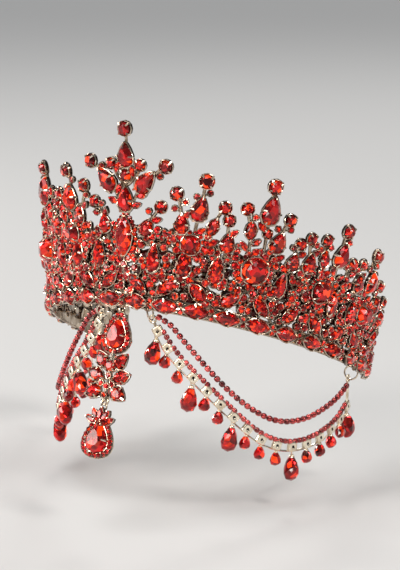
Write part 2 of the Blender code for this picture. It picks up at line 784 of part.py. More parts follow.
def sideways(points):
    """Unit normals of a flat polyline, pointing up on a route that runs to the left."""
    heading = np.gradient(points, axis=0)
    heading /= np.linalg.norm(heading, axis=1)[:, None]
    side = np.stack([-heading[:, 1], heading[:, 0]], axis=-1)
    return side * np.where(side[:, 1:2] < 0, -1.0, 1.0)


def swag_eye(side, angle, shift):
    """The eye at a swag's end, a link's length below the rail's eye."""
    upper = point_on(crown_wall, side * arc(angle), EYE_RISE)
    return np.array([side * arc(angle + shift), upper[2] - LINK_DROP])


def lay_ribbon(layout, squares, normals, side):
    """The chain's squares and the bead pairs over them as one band, open between the squares."""
    lower = squares - normals * SQUARE / 2
    upper = squares + normals * (SQUARE / 2 + BEAD_RADIUS)
    layout.plates.append(np.concatenate([lower, upper[::-1]])[::side])
    for k in range(len(squares) - 1):
        step = (squares[k + 1] - squares[k]) / np.linalg.norm(squares[k + 1] - squares[k])
        corners = []
        for here, ahead in ((k, step), (k + 1, -step)):
            edge = squares[here] + ahead * SQUARE / 2
            corners.append(edge - normals[here] * (SQUARE / 2 - SWAG_WIRE))
            corners.append(edge + normals[here] * (SQUARE / 2 + BEAD_RADIUS - SWAG_WIRE))
        layout.cuts.append(np.array([corners[0], corners[2], corners[3], corners[1]])[::side])


def lay_drops(layout, squares, normals):
    """A drop on a wire under every square, set with glass on both sides."""
    for number, (place, normal) in enumerate(zip(squares, normals)):
        large = number in LARGE_DROPS
        long, wide = (LARGE_DROP, LARGE_DROP_WIDTH) if large else (SMALL_DROP, SMALL_DROP_WIDTH)
        lean = DROP_LEAN_SHARE * math.atan2(normal[0], normal[1])
        hang = SQUARE * DROP_HANG_SHARE + long / 2 + (LARGE_DROP_CAP if large else 0.0)
        drop = place - np.array([math.sin(lean), math.cos(lean)]) * hang
        layout.add_wire([place - normal * (SQUARE / 2 - SWAG_WIRE), drop], SWAG_WIRE)
        sides = CUT_SIDES if large else SMALL_CUT_SIDES
        stone = raised_stone("pear", drop[0], drop[1], long, wide, lean, True, sides)
        layout.plates.append(stone["outline"])
        layout.raised.append(stone)


def add_link_ring(name, side, angle, shift):
    """The ring that joins a rail's eye to the swag's eye below it."""
    upper = point_on(crown_wall, side * arc(angle), EYE_RISE)
    lower = point_on(head_side, *swag_eye(side, angle, shift))
    outward = np.array([math.sin(side * math.radians(angle)), -math.cos(math.radians(angle)), 0.0])
    radius = float(np.linalg.norm(upper - lower)) / 2
    add_object(name, ring_mesh(name, (upper + lower) / 2, lower - upper, outward, radius), False)


def build_swag(side, hand):
    """One side's swag: a seed string, and a chain of squares with bead pairs over it and drops under it."""
    seeds = smooth_route(flat_route(SEED_ROUTE, side), STRING_STEP)
    flat = np.concatenate([seeds, np.zeros((len(seeds), 1))], axis=1)
    add_string(f"{hand}_seed_string", lift(head_side, flat), SEED_RADIUS)

    route = flat_route(CHAIN_ROUTE, side)
    length = float(np.sum(np.linalg.norm(np.diff(smooth_route(route, SWAG_WIRE), axis=0), axis=1)))
    squares = smooth_route(route, length / (SQUARES - 1))
    normals = sideways(squares)
    layout = Layout()
    lay_ribbon(layout, squares, normals, side)
    lay_drops(layout, squares, normals)
    for (_, angle, shift), end in zip(LINKS, (squares[0], squares[-1])):
        eye = swag_eye(side, angle, shift)
        lay_eye(layout, *eye)
        layout.add_wire([eye, (eye + end) / 2, end], 2 * SWAG_WIRE)
    finish_layout(layout, f"{hand}_chain", head_side)
    for name, angle, shift in LINKS:
        add_link_ring(f"{hand}_{name}_ring", side, angle, shift)


clear_scene()
build_crown()
build_pendant()
build_drop()
build_swag(1, "left")
build_swag(-1, "right")
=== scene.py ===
import json
import math

import bpy
import numpy as np
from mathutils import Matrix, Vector


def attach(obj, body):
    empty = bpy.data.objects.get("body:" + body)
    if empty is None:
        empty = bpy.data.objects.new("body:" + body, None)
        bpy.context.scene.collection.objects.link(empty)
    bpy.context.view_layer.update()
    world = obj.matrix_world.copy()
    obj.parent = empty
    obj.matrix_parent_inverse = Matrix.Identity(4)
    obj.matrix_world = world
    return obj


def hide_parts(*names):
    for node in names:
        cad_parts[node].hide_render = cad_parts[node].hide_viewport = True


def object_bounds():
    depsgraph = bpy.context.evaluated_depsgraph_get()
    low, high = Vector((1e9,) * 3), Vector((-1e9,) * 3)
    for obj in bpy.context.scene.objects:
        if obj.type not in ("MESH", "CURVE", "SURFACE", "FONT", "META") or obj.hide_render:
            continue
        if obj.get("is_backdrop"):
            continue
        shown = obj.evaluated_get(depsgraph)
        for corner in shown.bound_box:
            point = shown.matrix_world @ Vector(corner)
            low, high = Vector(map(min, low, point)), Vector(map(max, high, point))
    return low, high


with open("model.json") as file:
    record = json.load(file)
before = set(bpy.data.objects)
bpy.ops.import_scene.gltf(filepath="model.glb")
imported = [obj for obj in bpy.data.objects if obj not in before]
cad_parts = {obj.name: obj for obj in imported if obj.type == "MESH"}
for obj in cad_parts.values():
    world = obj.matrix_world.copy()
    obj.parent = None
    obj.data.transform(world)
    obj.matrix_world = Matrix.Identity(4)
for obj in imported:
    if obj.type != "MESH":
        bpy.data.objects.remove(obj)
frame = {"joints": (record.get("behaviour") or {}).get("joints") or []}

cad_low, cad_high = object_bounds()

# Camera, light and floor
# The crown is seen from its wearer's left front, a little from above, over a plain pale floor.
# Square lamps stand round it as in a studio, the largest in front at the left, under a broad ceiling light.
CAMERA_AROUND = math.radians(29.0)
CAMERA_ABOVE = math.radians(12.0)
CAMERA_AWAY = 0.90
LENS = 118.0
LOOK_AT = Vector((0.006, -0.020, 0.036))
FLOOR_DROP = 0.014
FLOOR_SIZE = 40.0

toward_camera = Vector((
    math.sin(CAMERA_AROUND) * math.cos(CAMERA_ABOVE),
    -math.cos(CAMERA_AROUND) * math.cos(CAMERA_ABOVE),
    math.sin(CAMERA_ABOVE),
))
lens = bpy.data.cameras.new("studio_camera")
lens.lens = LENS
lens.sensor_fit = "VERTICAL"
lens.sensor_height = 36.0
lens.clip_start = 0.01
lens.clip_end = 60.0
camera = bpy.data.objects.new("studio_camera", lens)
camera.location = LOOK_AT + toward_camera * CAMERA_AWAY
camera.rotation_euler = toward_camera.to_track_quat("Z", "Y").to_euler()
bpy.context.scene.collection.objects.link(camera)
bpy.context.scene.camera = camera


def soft_light(name, place, size, watts, colour):
    """A square area lamp at a place, turned to look at the crown."""
    lamp = bpy.data.lights.new(name, "AREA")
    lamp.energy = watts
    lamp.size = size
    lamp.color = colour
    holder = bpy.data.objects.new(name, lamp)
    holder.location = place
    holder.rotation_euler = (Vector(place) - LOOK_AT).to_track_quat("Z", "Y").to_euler()
    bpy.context.scene.collection.objects.link(holder)


soft_light("key_light", (-0.78, -1.28, 0.72), 0.56, 13.0, (1.0, 0.95, 0.90))
soft_light("right_light", (1.20, -0.35, 1.10), 0.40, 11.0, (1.0, 0.96, 0.92))
soft_light("front_light", (0.35, -1.40, 0.10), 0.16, 2.2, (1.0, 0.96, 0.90))
soft_light("back_light", (-0.60, 1.60, 1.70), 0.60, 10.0, (1.0, 0.98, 0.95))
soft_light("left_light", (-1.40, 0.05, 0.35), 0.22, 6.0, (1.0, 0.96, 0.90))

broad = bpy.data.lights.new("ceiling_light", "SUN")
broad.energy = 1.3
broad.angle = math.radians(40)
ceiling = bpy.data.objects.new("ceiling_light", broad)
ceiling.rotation_euler = Vector((-0.25, -0.35, 1.0)).to_track_quat("Z", "Y").to_euler()
bpy.context.scene.collection.objects.link(ceiling)

world = bpy.data.worlds.new("studio")
world.use_nodes = True
room = world.node_tree.nodes["Background"]
room.inputs["Color"].default_value = (0.60, 0.61, 0.63, 1.0)
room.inputs["Strength"].default_value = 0.28
bpy.context.scene.world = world
bpy.context.scene.view_settings.view_transform = "Standard"


def plain_material(name):
    """A new material and its shader, ready for values and links."""
    material = bpy.data.materials.new(name)
    material.use_nodes = True
    return material, material.node_tree, material.node_tree.nodes["Principled BSDF"]


def make_floor(name, height, size):
    """A level square of cloth-like paper."""
    half = size / 2
    mesh = bpy.data.meshes.new(name)
    corners = [(-half, -half, height), (half, -half, height), (half, half, height), (-half, half, height)]
    mesh.from_pydata(corners, [], [(0, 1, 2, 3)])
    material, tree, shader = plain_material("pale_floor")
    shader.inputs["Roughness"].default_value = 0.85
    shader.inputs["Base Color"].default_value = (0.64, 0.64, 0.635, 1.0)
    mesh.materials.append(material)
    floor = bpy.data.objects.new(name, mesh)
    bpy.context.scene.collection.objects.link(floor)
    floor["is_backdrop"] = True


make_floor("studio_floor", cad_low[2] - FLOOR_DROP, FLOOR_SIZE)

# Champagne metal
# All metal is one alloy, cast or drawn, then plated with a thin pale-gold silver and polished by hand.
# The plating changes slowly in tone from patch to patch, and its hollows are painted dark brown as shade.
CHAMPAGNE = (0.84, 0.72, 0.58, 1.0)
CHAMPAGNE_DULL = (0.50, 0.38, 0.27, 1.0)
# Painted shade: the dark brown given to hollows, to the feet of cups and to the places under stones.
HOLLOW_SHADE = (0.045, 0.028, 0.020, 1.0)


def connect(tree, node, inputs):
    """Gives each named input of a node its value, or a link where the value is another node's output."""
    for socket, value in inputs.items():
        if isinstance(value, bpy.types.NodeSocket):
            tree.links.new(value, node.inputs[socket])
        else:
            node.inputs[socket].default_value = value
    return node


def add_node(tree, kind, inputs=None, **settings):
    """A new shader node with its settings and its inputs."""
    node = tree.nodes.new("ShaderNode" + kind)
    for setting, value in settings.items():
        setattr(node, setting, value)
    return connect(tree, node, inputs or {})


def mixed(tree, share, first, second):
    """The colour that lies at a share of the way from a first to a second colour."""
    mix = add_node(tree, "Mix", data_type="RGBA")
    return connect(tree, mix, {"Factor": share, 6: first, 7: second}).outputs[2]


def new_group(name, inputs, outputs):
    """An empty node group: each input has its start value, a colour or a number, and each output its kind."""
    group = bpy.data.node_groups.new(name, "ShaderNodeTree")
    for label, value in inputs.items():
        kind = "NodeSocketColor" if isinstance(value, tuple) else "NodeSocketFloat"
        group.interface.new_socket(name=label, in_out="INPUT", socket_type=kind).default_value = value
    for label, kind in outputs.items():
        group.interface.new_socket(name=label, in_out="OUTPUT", socket_type="NodeSocket" + kind)
    return group, group.nodes.new("NodeGroupInput").outputs, group.nodes.new("NodeGroupOutput")


def tone_and_shade_group():
    """Colour and roughness that change slowly over plated metal, with painted shade that darkens it where
    the piece's own attribute unshaded is low, in its hollows, and with fine polishing scratches."""
    group, given, result = new_group(
        "plating_tone_and_shade",
        {"Bright": CHAMPAGNE, "Dull": CHAMPAGNE_DULL, "Hollow Shade": HOLLOW_SHADE, "Patch Size": 0.004, "Smooth": 0.14,
         "Rough": 0.38},
        {"Colour": "Color", "Roughness": "Float", "Height": "Float"})
    where = add_node(group, "TexCoord").outputs["Object"]
    per_metre = add_node(group, "Math", {0: 1.0, 1: given["Patch Size"]}, operation="DIVIDE").outputs[0]
    patches = add_node(group, "TexNoise", {"Vector": where, "Scale": per_metre, "Detail": 4.0})
    spread = add_node(group, "MapRange", {"Value": patches.outputs["Fac"], "From Min": 0.42, "From Max": 0.66})
    plating = mixed(group, spread.outputs["Result"], given["Bright"], given["Dull"])
    # Painted shade: where the attribute unshaded is low, in hollows, the colour turns to the hollow shade.
    worn = add_node(group, "Attribute", attribute_name="worn")
    rim = add_node(group, "MapRange", {"Value": worn.outputs["Fac"], "From Min": 0.25, "From Max": 0.95},
                   interpolation_type="SMOOTHSTEP")
    rough = add_node(group, "MapRange", {"Value": spread.outputs["Result"], "To Min": given["Smooth"],
                                         "To Max": given["Rough"]})
    scratches = add_node(group, "TexNoise", {"Vector": where, "Scale": 2600.0, "Detail": 2.0})
    connect(group, result, {"Colour": mixed(group, rim.outputs["Result"], given["Hollow Shade"], plating),
                            "Roughness": rough.outputs["Result"], "Height": scratches.outputs["Fac"]})
    return group


plating_tone_and_shade = tone_and_shade_group()


def plated_material(name, bright, dull, smooth, rough):
    """Polished plating: the tone and shade group drives colour and roughness and paints the hollows dark
    as shade, and a faint bump breaks the shine.
    """
    material, tree, shader = plain_material(name)
    tone_and_shade = add_node(tree, "Group", node_tree=plating_tone_and_shade)
    connect(tree, tone_and_shade, {"Bright": (*bright, 1.0), "Dull": (*dull, 1.0), "Smooth": smooth, "Rough": rough})
    bump = add_node(tree, "Bump", {"Strength": 0.10, "Distance": 0.0001, "Height": tone_and_shade.outputs["Height"]})
    connect(tree, shader, {"Base Color": tone_and_shade.outputs["Colour"], "Roughness": tone_and_shade.outputs["Roughness"],
                           "Normal": bump.outputs["Normal"], "Metallic": 1.0})
    return material


champagne = plated_material("champagne_plating", CHAMPAGNE[:3], CHAMPAGNE_DULL[:3], 0.13, 0.34)
# A darker copy of the same plating for the openwork among the stones: painted shade.
shaded_champagne = plated_material("shaded_plating", (0.54, 0.44, 0.34), (0.25, 0.18, 0.12), 0.15, 0.38)

# Garnet glass
# The stones are pressed red glass, foiled behind, so light comes back through them as deep red, with
# orange-red sparks painted on as a glow from the glass itself, while their polished tables mirror the room in
# pale pink.
GARNET_DEEP = (0.11, 0.0, 0.0005, 1.0)
GARNET_BRIGHT = (1.0, 0.004, 0.004, 1.0)
# Painted light: the orange-red glow that some cells of the glass give off, though no lamp is there.
GARNET_PAINTED_GLOW = (1.0, 0.06, 0.004, 1.0)
FOIL_CELL = 0.0026
CHIP_CELL = 0.0011


def foil_group():
    """Random cells like the pavilion facets seen through a stone: colour, a painted orange-red glow in some
    of them and a tilted normal, with a slow cloud that makes one stone lighter than the next."""
    group, given, result = new_group(
        "foiled_facets",
        {"Deep": GARNET_DEEP, "Bright": GARNET_BRIGHT, "Painted Glow": GARNET_PAINTED_GLOW, "Cell Size": FOIL_CELL,
         "Tilt": 0.55},
        {"Colour": "Color", "Glow": "Color", "Normal": "Vector"})
    where = add_node(group, "TexCoord").outputs["Object"]
    per_metre = add_node(group, "Math", {0: 1.0, 1: given["Cell Size"]}, operation="DIVIDE").outputs[0]
    cells = add_node(group, "TexVoronoi", {"Vector": where, "Scale": per_metre}).outputs["Color"]
    parts = add_node(group, "SeparateColor", {"Color": cells}).outputs
    cloud = add_node(group, "TexNoise", {"Vector": where, "Scale": 210.0, "Detail": 1.0})
    shade = add_node(group, "MapRange", {"Value": cloud.outputs["Fac"], "From Min": 0.36, "From Max": 0.60,
                                         "To Min": 0.36, "To Max": 1.0})
    toned = add_node(group, "VectorMath", {0: mixed(group, parts["Red"], given["Deep"], given["Bright"]),
                                           "Scale": shade.outputs["Result"]}, operation="SCALE")
    # Painted light: the cells whose green value is high glow orange-red.
    glowing_cells = add_node(group, "MapRange", {"Value": parts["Green"], "From Min": 0.76, "From Max": 1.0})
    centred = add_node(group, "VectorMath", {0: cells, 1: (0.5, 0.5, 0.5)}, operation="SUBTRACT")
    tilted = add_node(group, "VectorMath", {0: centred.outputs["Vector"], "Scale": given["Tilt"]},
                      operation="SCALE")
    surface = add_node(group, "NewGeometry")
    summed = add_node(group, "VectorMath", {0: surface.outputs["Normal"], 1: tilted.outputs["Vector"]})
    facing = add_node(group, "VectorMath", {0: summed.outputs["Vector"]}, operation="NORMALIZE")
    glow = mixed(group, glowing_cells.outputs["Result"], (0.0, 0.0, 0.0, 1.0), given["Painted Glow"])
    connect(group, result, {"Colour": toned.outputs["Vector"], "Glow": glow, "Normal": facing.outputs["Vector"]})
    return group


foiled_facets = foil_group()


def foiled_glass(name, deep, bright, painted_glow_colour, cell, tilt, glow, metallic=0.72, rough=0.16):
    """Red glass over foil: a mirror-like red base under a clear, polished coat, with a painted orange-red
    glow from some cells.
    """
    material, tree, shader = plain_material(name)
    facets = add_node(tree, "Group", node_tree=foiled_facets)
    connect(tree, facets, {"Deep": deep, "Bright": bright, "Painted Glow": painted_glow_colour, "Cell Size": cell, "Tilt": tilt})
    connect(tree, shader, {"Base Color": facets.outputs["Colour"], "Emission Color": facets.outputs["Glow"],
                           "Normal": facets.outputs["Normal"], "Metallic": metallic, "Roughness": rough,
                           "Coat Weight": 0.60, "Coat Roughness": 0.02, "Coat IOR": 1.55,
                           "Emission Strength": glow})
    return material


GARNET = (GARNET_DEEP, GARNET_BRIGHT, GARNET_PAINTED_GLOW)
# Each garnet glass gives off a painted glow of the given strength, though it is no lamp.
garnet_cut = foiled_glass("garnet_cut_glass", *GARNET, FOIL_CELL, 0.50, 1.3)
garnet_chip = foiled_glass("garnet_chip_glass", *GARNET, CHIP_CELL, 0.42, 1.1)
# The stones behind the wall take a near-black copy of the garnet glass: painted shade, with a faint painted
# glow.
garnet_shadow = foiled_glass("garnet_back_glass_painted_shade", (0.012, 0.0, 0.0, 1.0), (0.16, 0.0, 0.001, 1.0),
                             (0.5, 0.01, 0.0, 1.0), CHIP_CELL, 0.40, 0.1)

# Wall of the crown
# The crown is a tall wall of castings soldered to a rail that runs round the brow and sides of the head.
# The wall leans back, flares outwards, and slopes down towards its open ends behind the ears.
HALF_WIDTH = 0.0755
HALF_LENGTH = 0.0815
CROWN_HEIGHT = 0.0845
RIM_PITCH = math.radians(24.3)
LEAN_BACK = math.radians(13.0)
FLARE_RIM = math.radians(6.0)
FLARE_TOP = math.radians(14.0)
BAND_REACH = 114.0
RAIL_HEIGHT = 0.0070
PIERCED_HEIGHT = 0.0310
ZIGZAG_SHARE = 0.46
RAIL_STONES = 22
REAR_SHARE = 0.62
REAR_START_SHARE = 0.70
WIRE = 0.0014
SHEET = 0.0012
SEAT = SHEET / 2
ARC = math.radians((HALF_WIDTH + HALF_LENGTH) / 2)
HEAD_GAP = 0.0025


def unit(vectors):
    """Each vector over its own length."""
    return vectors / np.linalg.norm(vectors, axis=-1, keepdims=True)


def evened(*values):
    """Numbers and arrays spread out to float arrays of one shape."""
    return [np.array(value, dtype=float) for value in np.broadcast_arrays(*values)]


def crown_wall(angle, up, proud=0.0):
    """Points on the wall: an oval foot tilted down to the back, then up times a direction that leans back
    and flares out with height, then proud times the outward direction."""
    angle, up, proud = evened(angle, up, proud)
    turn = np.radians(angle)
    outward = np.stack([np.sin(turn), -np.cos(turn), 0 * turn], axis=-1)
    foot = np.stack([HALF_WIDTH * np.sin(turn), -HALF_LENGTH * np.cos(turn),
                     HALF_LENGTH * math.tan(RIM_PITCH) * np.cos(turn)], axis=-1)
    flare = FLARE_RIM + (FLARE_TOP - FLARE_RIM) * up / CROWN_HEIGHT / 2
    lean = np.array([0.0, math.sin(LEAN_BACK), math.cos(LEAN_BACK)])
    rise = outward * np.sin(flare)[..., None] + lean * np.cos(flare)[..., None]
    return foot + up[..., None] * rise + outward * proud[..., None]


def head_side(angle, up):
    """Points on the plumb oval at the side of the head, just inside the rail; up is the height."""
    angle, up = evened(angle, up)
    turn = np.radians(angle)
    wide, deep = HALF_WIDTH - HEAD_GAP, HALF_LENGTH - HEAD_GAP
    return np.stack([wide * np.sin(turn), -deep * np.cos(turn), up], axis=-1)


def apart(one, other):
    """How far two (angle, up) places lie apart on the wall."""
    return math.hypot((one[0] - other[0]) * ARC, one[1] - other[1])


def frames_on(surface, angle, up, lean, tip=0.0, nod=0.0):
    """For each place on a surface: its point and three unit axes (across, along the stone, outward), turned
    by lean in the surface, then rocked by tip and nod."""
    angle, up, lean, tip, nod = evened(angle, up, lean, tip, nod)
    place = surface(angle, up)
    right = unit(surface(angle + 0.05, up) - surface(angle - 0.05, up))
    out = unit(np.cross(right, surface(angle, up + 1e-4) - surface(angle, up - 1e-4)))
    rising = np.cross(out, right)
    c, s = np.cos(lean)[..., None], np.sin(lean)[..., None]
    across, along = right * c - rising * s, right * s + rising * c
    face = unit(out + across * np.tan(tip)[..., None] + along * np.tan(nod)[..., None])
    across = unit(across - face * np.sum(across * face, axis=-1)[..., None])
    return place, np.stack([across, np.cross(face, across), face], axis=-2)


class Pile:
    """Points and faces of one piece while it is gathered from many copies and surfaces, with how free of
    painted shade each point is, from 0 in a hollow, which is painted dark, to 1 on a rim."""

    def __init__(self):
        self.points, self.faces, self.tones, self.worn, self.count = [], [], [], [], 0

    def add(self, points, faces, tone=0):
        """Add one body of points with faces counted from its own first point."""
        self.points.append(np.asarray(points, dtype=float).reshape(-1, 3))
        self.faces += [[k + self.count for k in face] for face in faces]
        self.tones += [tone] * len(faces)
        self.worn.append(np.ones(len(self.points[-1])))
        self.count += len(self.points[-1])

    def stamp(self, shape, places, axes, sizes, lift=0.0):
        """Copies of a shape: each point is its place plus its sized coordinates along its three axes."""
        points, faces, worn = shape
        places = np.asarray(places).reshape(-1, 3)
        axes = np.zeros((len(places), 1, 1)) + axes
        sizes = np.zeros((len(places), 1)) + sizes
        places = places + axes[:, 2] * lift
        moved = places[:, None] + np.einsum("nk,mk,nkx->nmx", sizes, points, axes)
        starts = self.count + len(points) * np.arange(len(places))
        for face in faces:
            self.faces += (np.array(face)[None] + starts[:, None]).tolist()
            self.tones += [0] * len(places)
        self.points.append(moved.reshape(-1, 3))
        self.worn.append(np.tile(worn, len(places)))
        self.count += moved.shape[0] * moved.shape[1]

    def finish(self, name, materials, body, slot, smooth=False, node=None):
        """Make the piece's object, give it its finish and let it ride on its body."""
        mesh = bpy.data.meshes.new(name)
        mesh.from_pydata(np.concatenate(self.points).tolist(), [], self.faces)
        for material in materials:
            mesh.materials.append(material)
        if len(materials) > 1:
            mesh.polygons.foreach_set("material_index", np.array(self.tones, dtype=np.int32))
        if smooth:
            mesh.shade_smooth()
            mesh.set_sharp_from_angle(angle=math.radians(40))
        worn = mesh.attributes.new("worn", "FLOAT", "POINT")
        worn.data.foreach_set("value", np.concatenate(self.worn).astype(np.float32))
        mesh.update()
        piece = bpy.data.objects.new(name, mesh)
        bpy.context.scene.collection.objects.link(piece)
        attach(piece, body)
        if node:
            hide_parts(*node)
        return piece


TUBE_GUIDE = np.array([0.31, 0.17, 0.94])


def tube(path, radius, sides=8, facing=None):
    """A round wire: a circle of the given radius carried along a path, closed by flat ends."""
    path = np.asarray(path, dtype=float)
    ahead = unit(np.gradient(path, axis=0))
    side = unit(np.cross(ahead, TUBE_GUIDE if facing is None else facing))
    over = np.cross(side, ahead)
    turn = np.arange(sides) * 2 * math.pi / sides
    reach = np.asarray(radius) + np.zeros(len(path))
    ring = side[:, None] * np.cos(turn)[None, :, None] + over[:, None] * np.sin(turn)[None, :, None]
    return path[:, None] + ring * reach[:, None, None], strip_faces(len(path), sides)


def strip_faces(rows, columns):
    """Faces of a grid that is closed round its columns, with its first and last rows capped."""
    corner = np.arange(rows * columns).reshape(rows, columns)
    beside = np.roll(corner, -1, axis=1)
    quads = np.stack([corner[:-1], corner[1:], beside[1:], beside[:-1]], axis=-1).reshape(-1, 4)
    return quads.tolist() + [corner[0].tolist(), corner[-1][::-1].tolist()]


# Rail
# The rail is a flat strip with a rolled bead along each edge, bent round the brow and open behind the ears.
# A chain of marquise stones lies along it, and the castings over it are soldered to it.
EDGE_BEAD = 0.0007
STRIP_INSET = 0.0004
STRIP_FRONT = 0.0003
STRIP_BACK = -0.0006
RAIL_STEPS = 161
openwork = Pile()


def bar_on_rail(profile, up):
    """A bar of even section along the rail: (up, proud) points of a profile, carried round at a height."""
    angles = np.linspace(-BAND_REACH, BAND_REACH, RAIL_STEPS)[:, None]
    rises, prouds = np.transpose(profile)
    openwork.add(crown_wall(angles, up + rises, prouds), strip_faces(RAIL_STEPS, len(rises)))


strip_top = RAIL_HEIGHT - STRIP_INSET
bar_on_rail([(STRIP_INSET, STRIP_FRONT), (strip_top, STRIP_FRONT), (strip_top, STRIP_BACK),
             (STRIP_INSET, STRIP_BACK)], 0.0)
bead_turn = np.arange(8) * math.pi / 4
for edge in (EDGE_BEAD, RAIL_HEIGHT - EDGE_BEAD):
    bar_on_rail(np.stack([EDGE_BEAD * np.cos(bead_turn), -EDGE_BEAD * np.sin(bead_turn)], axis=-1), edge)

# Stones and their cups
# Every stone is cut with a flat table over two rows of facets and sits in a thin cup, held by small claws
# that are bent over its edge. Round, pear and marquise stones share the same cut.
CLAW = 0.00056
CUP_MARGIN = 0.0008
CUP_LIP = 0.0004
GRAIN_SIZE = 0.00096
PEAR_BULGE = 0.42
PEAR_TRIM = 1.03
MARQUISE_TAPER = 0.7
STONE_DEPTH_SHARE = 0.40
CLAWED_WIDTH = 0.0034
FINE_CUT_WIDTH = 0.0040
GRAIN_TURN = 2.1
GRAIN_REACH = 1.04
GRAIN_RISE = 1.4
NAMED_STONE_LIFT = 0.0003
HALO_TILT = 0.38
HALO_CUP_SHARE = 1.12
HALO_STONE_SHARE = 0.98
HALO_GRAIN_SHARE = 0.24
HALO_GRAIN_REACH = 1.03


def unit_outline(kind, turn):
    """Outline of a stone one wide and one long, its point up, at given turns from the point."""
    if kind == "round":
        across = np.sin(turn)
    elif kind == "pear":
        across = np.sin(turn) * (1 - PEAR_BULGE * np.cos(turn)) / PEAR_TRIM
    else:
        across = np.sin(turn) * np.abs(np.sin(turn)) ** MARQUISE_TAPER
    return np.stack([-across / 2, np.cos(turn) / 2], axis=-1)


def turned(kind, columns, levels):
    """Rings of one outline from the top down, each (share of the outline, height, half-step turn, share free of
    painted shade), joined by triangles where the turn changes and by quads where it doesn't, with the first
    and last ring capped; it gives points, faces and, at each point, how free of painted shade it is."""
    points = []
    for share, height, half, _ in levels:
        turn = (np.arange(columns) + half / 2) * 2 * math.pi / columns
        ring = unit_outline(kind, turn) * share
        points.append(np.concatenate([ring, np.full((columns, 1), height)], axis=1))
    faces = [list(range(columns)), list(range((len(levels) - 1) * columns, len(levels) * columns))[::-1]]
    here = np.arange(columns)
    after = (here + 1) % columns
    for row in range(len(levels) - 1):
        top, low = row * columns, (row + 1) * columns
        change = levels[row + 1][2] - levels[row][2]
        if change == 0:
            sets = [(top + here, low + here, low + after, top + after)]
        elif change > 0:
            sets = [(top + here, low + here, top + after), (low + here, low + after, top + after)]
        else:
            sets = [(top + here, low + here, low + after), (top + here, low + after, top + after)]
        for corners in sets:
            faces += np.stack(corners, axis=-1).tolist()
    return np.concatenate(points), faces, np.repeat([level[3] for level in levels], columns)


# The last number of each level is how free of painted shade it is. Stones take none, and each cup is painted
# dark as shade on its inner floor and towards the foot of its outer side, against the wall.
CUT_LEVELS = [(0.54, 1.00, 0, 1), (0.80, 0.66, 1, 1), (1.0, 0.16, 0, 1), (1.0, 0.0, 0, 1), (0.72, -0.22, 1, 1)]
CUP_LEVELS = [(0.80, -0.20, 0, 0.1), (0.86, 0.86, 0, 0.6), (0.93, 1.00, 0, 0.76), (1.00, 0.86, 0, 0.7),
              (1.00, -0.40, 0, 0.1), (0.82, -1.00, 0, 0.85)]
KINDS = ("round", "pear", "marquise")
CUT = {kind: turned(kind, 10, CUT_LEVELS) for kind in KINDS}
CHIP = {kind: turned(kind, 8, CUT_LEVELS) for kind in KINDS}
CUP = {kind: turned(kind, 12, CUP_LEVELS) for kind in KINDS}
SMALL_CUP = {kind: turned(kind, 8, CUP_LEVELS[1:]) for kind in KINDS}
CLAW_TURNS = {
    "round": np.radians([45, 135, 225, 315]),
    "pear": np.radians([0, 95, 160, 265]),
    "marquise": np.radians([0, 100, 180, 280]),
}


def claws(kind, place, axes, length, width, height):
    """Claws of one stone: each a tapering wire from the cup's side, up over the girdle and in on the facets."""
    outline = unit_outline(kind, CLAW_TURNS[kind]) * np.array([width, length])
    for corner, inside in zip(outline, -unit(outline)):
        reach = [(-0.00055, -0.0006), (-0.00055, 0.0), (-0.0003, height * 0.55), (width * 0.13, height * 0.86)]
        path = place + np.array([(*(corner + inside * step), rise) for step, rise in reach]) @ axes
        facing = np.cross(axes[2], inside[0] * axes[0] + inside[1] * axes[1])
        yield tube(path, np.array([1.0, 1.0, 0.95, 0.6]) * CLAW, 5, facing)


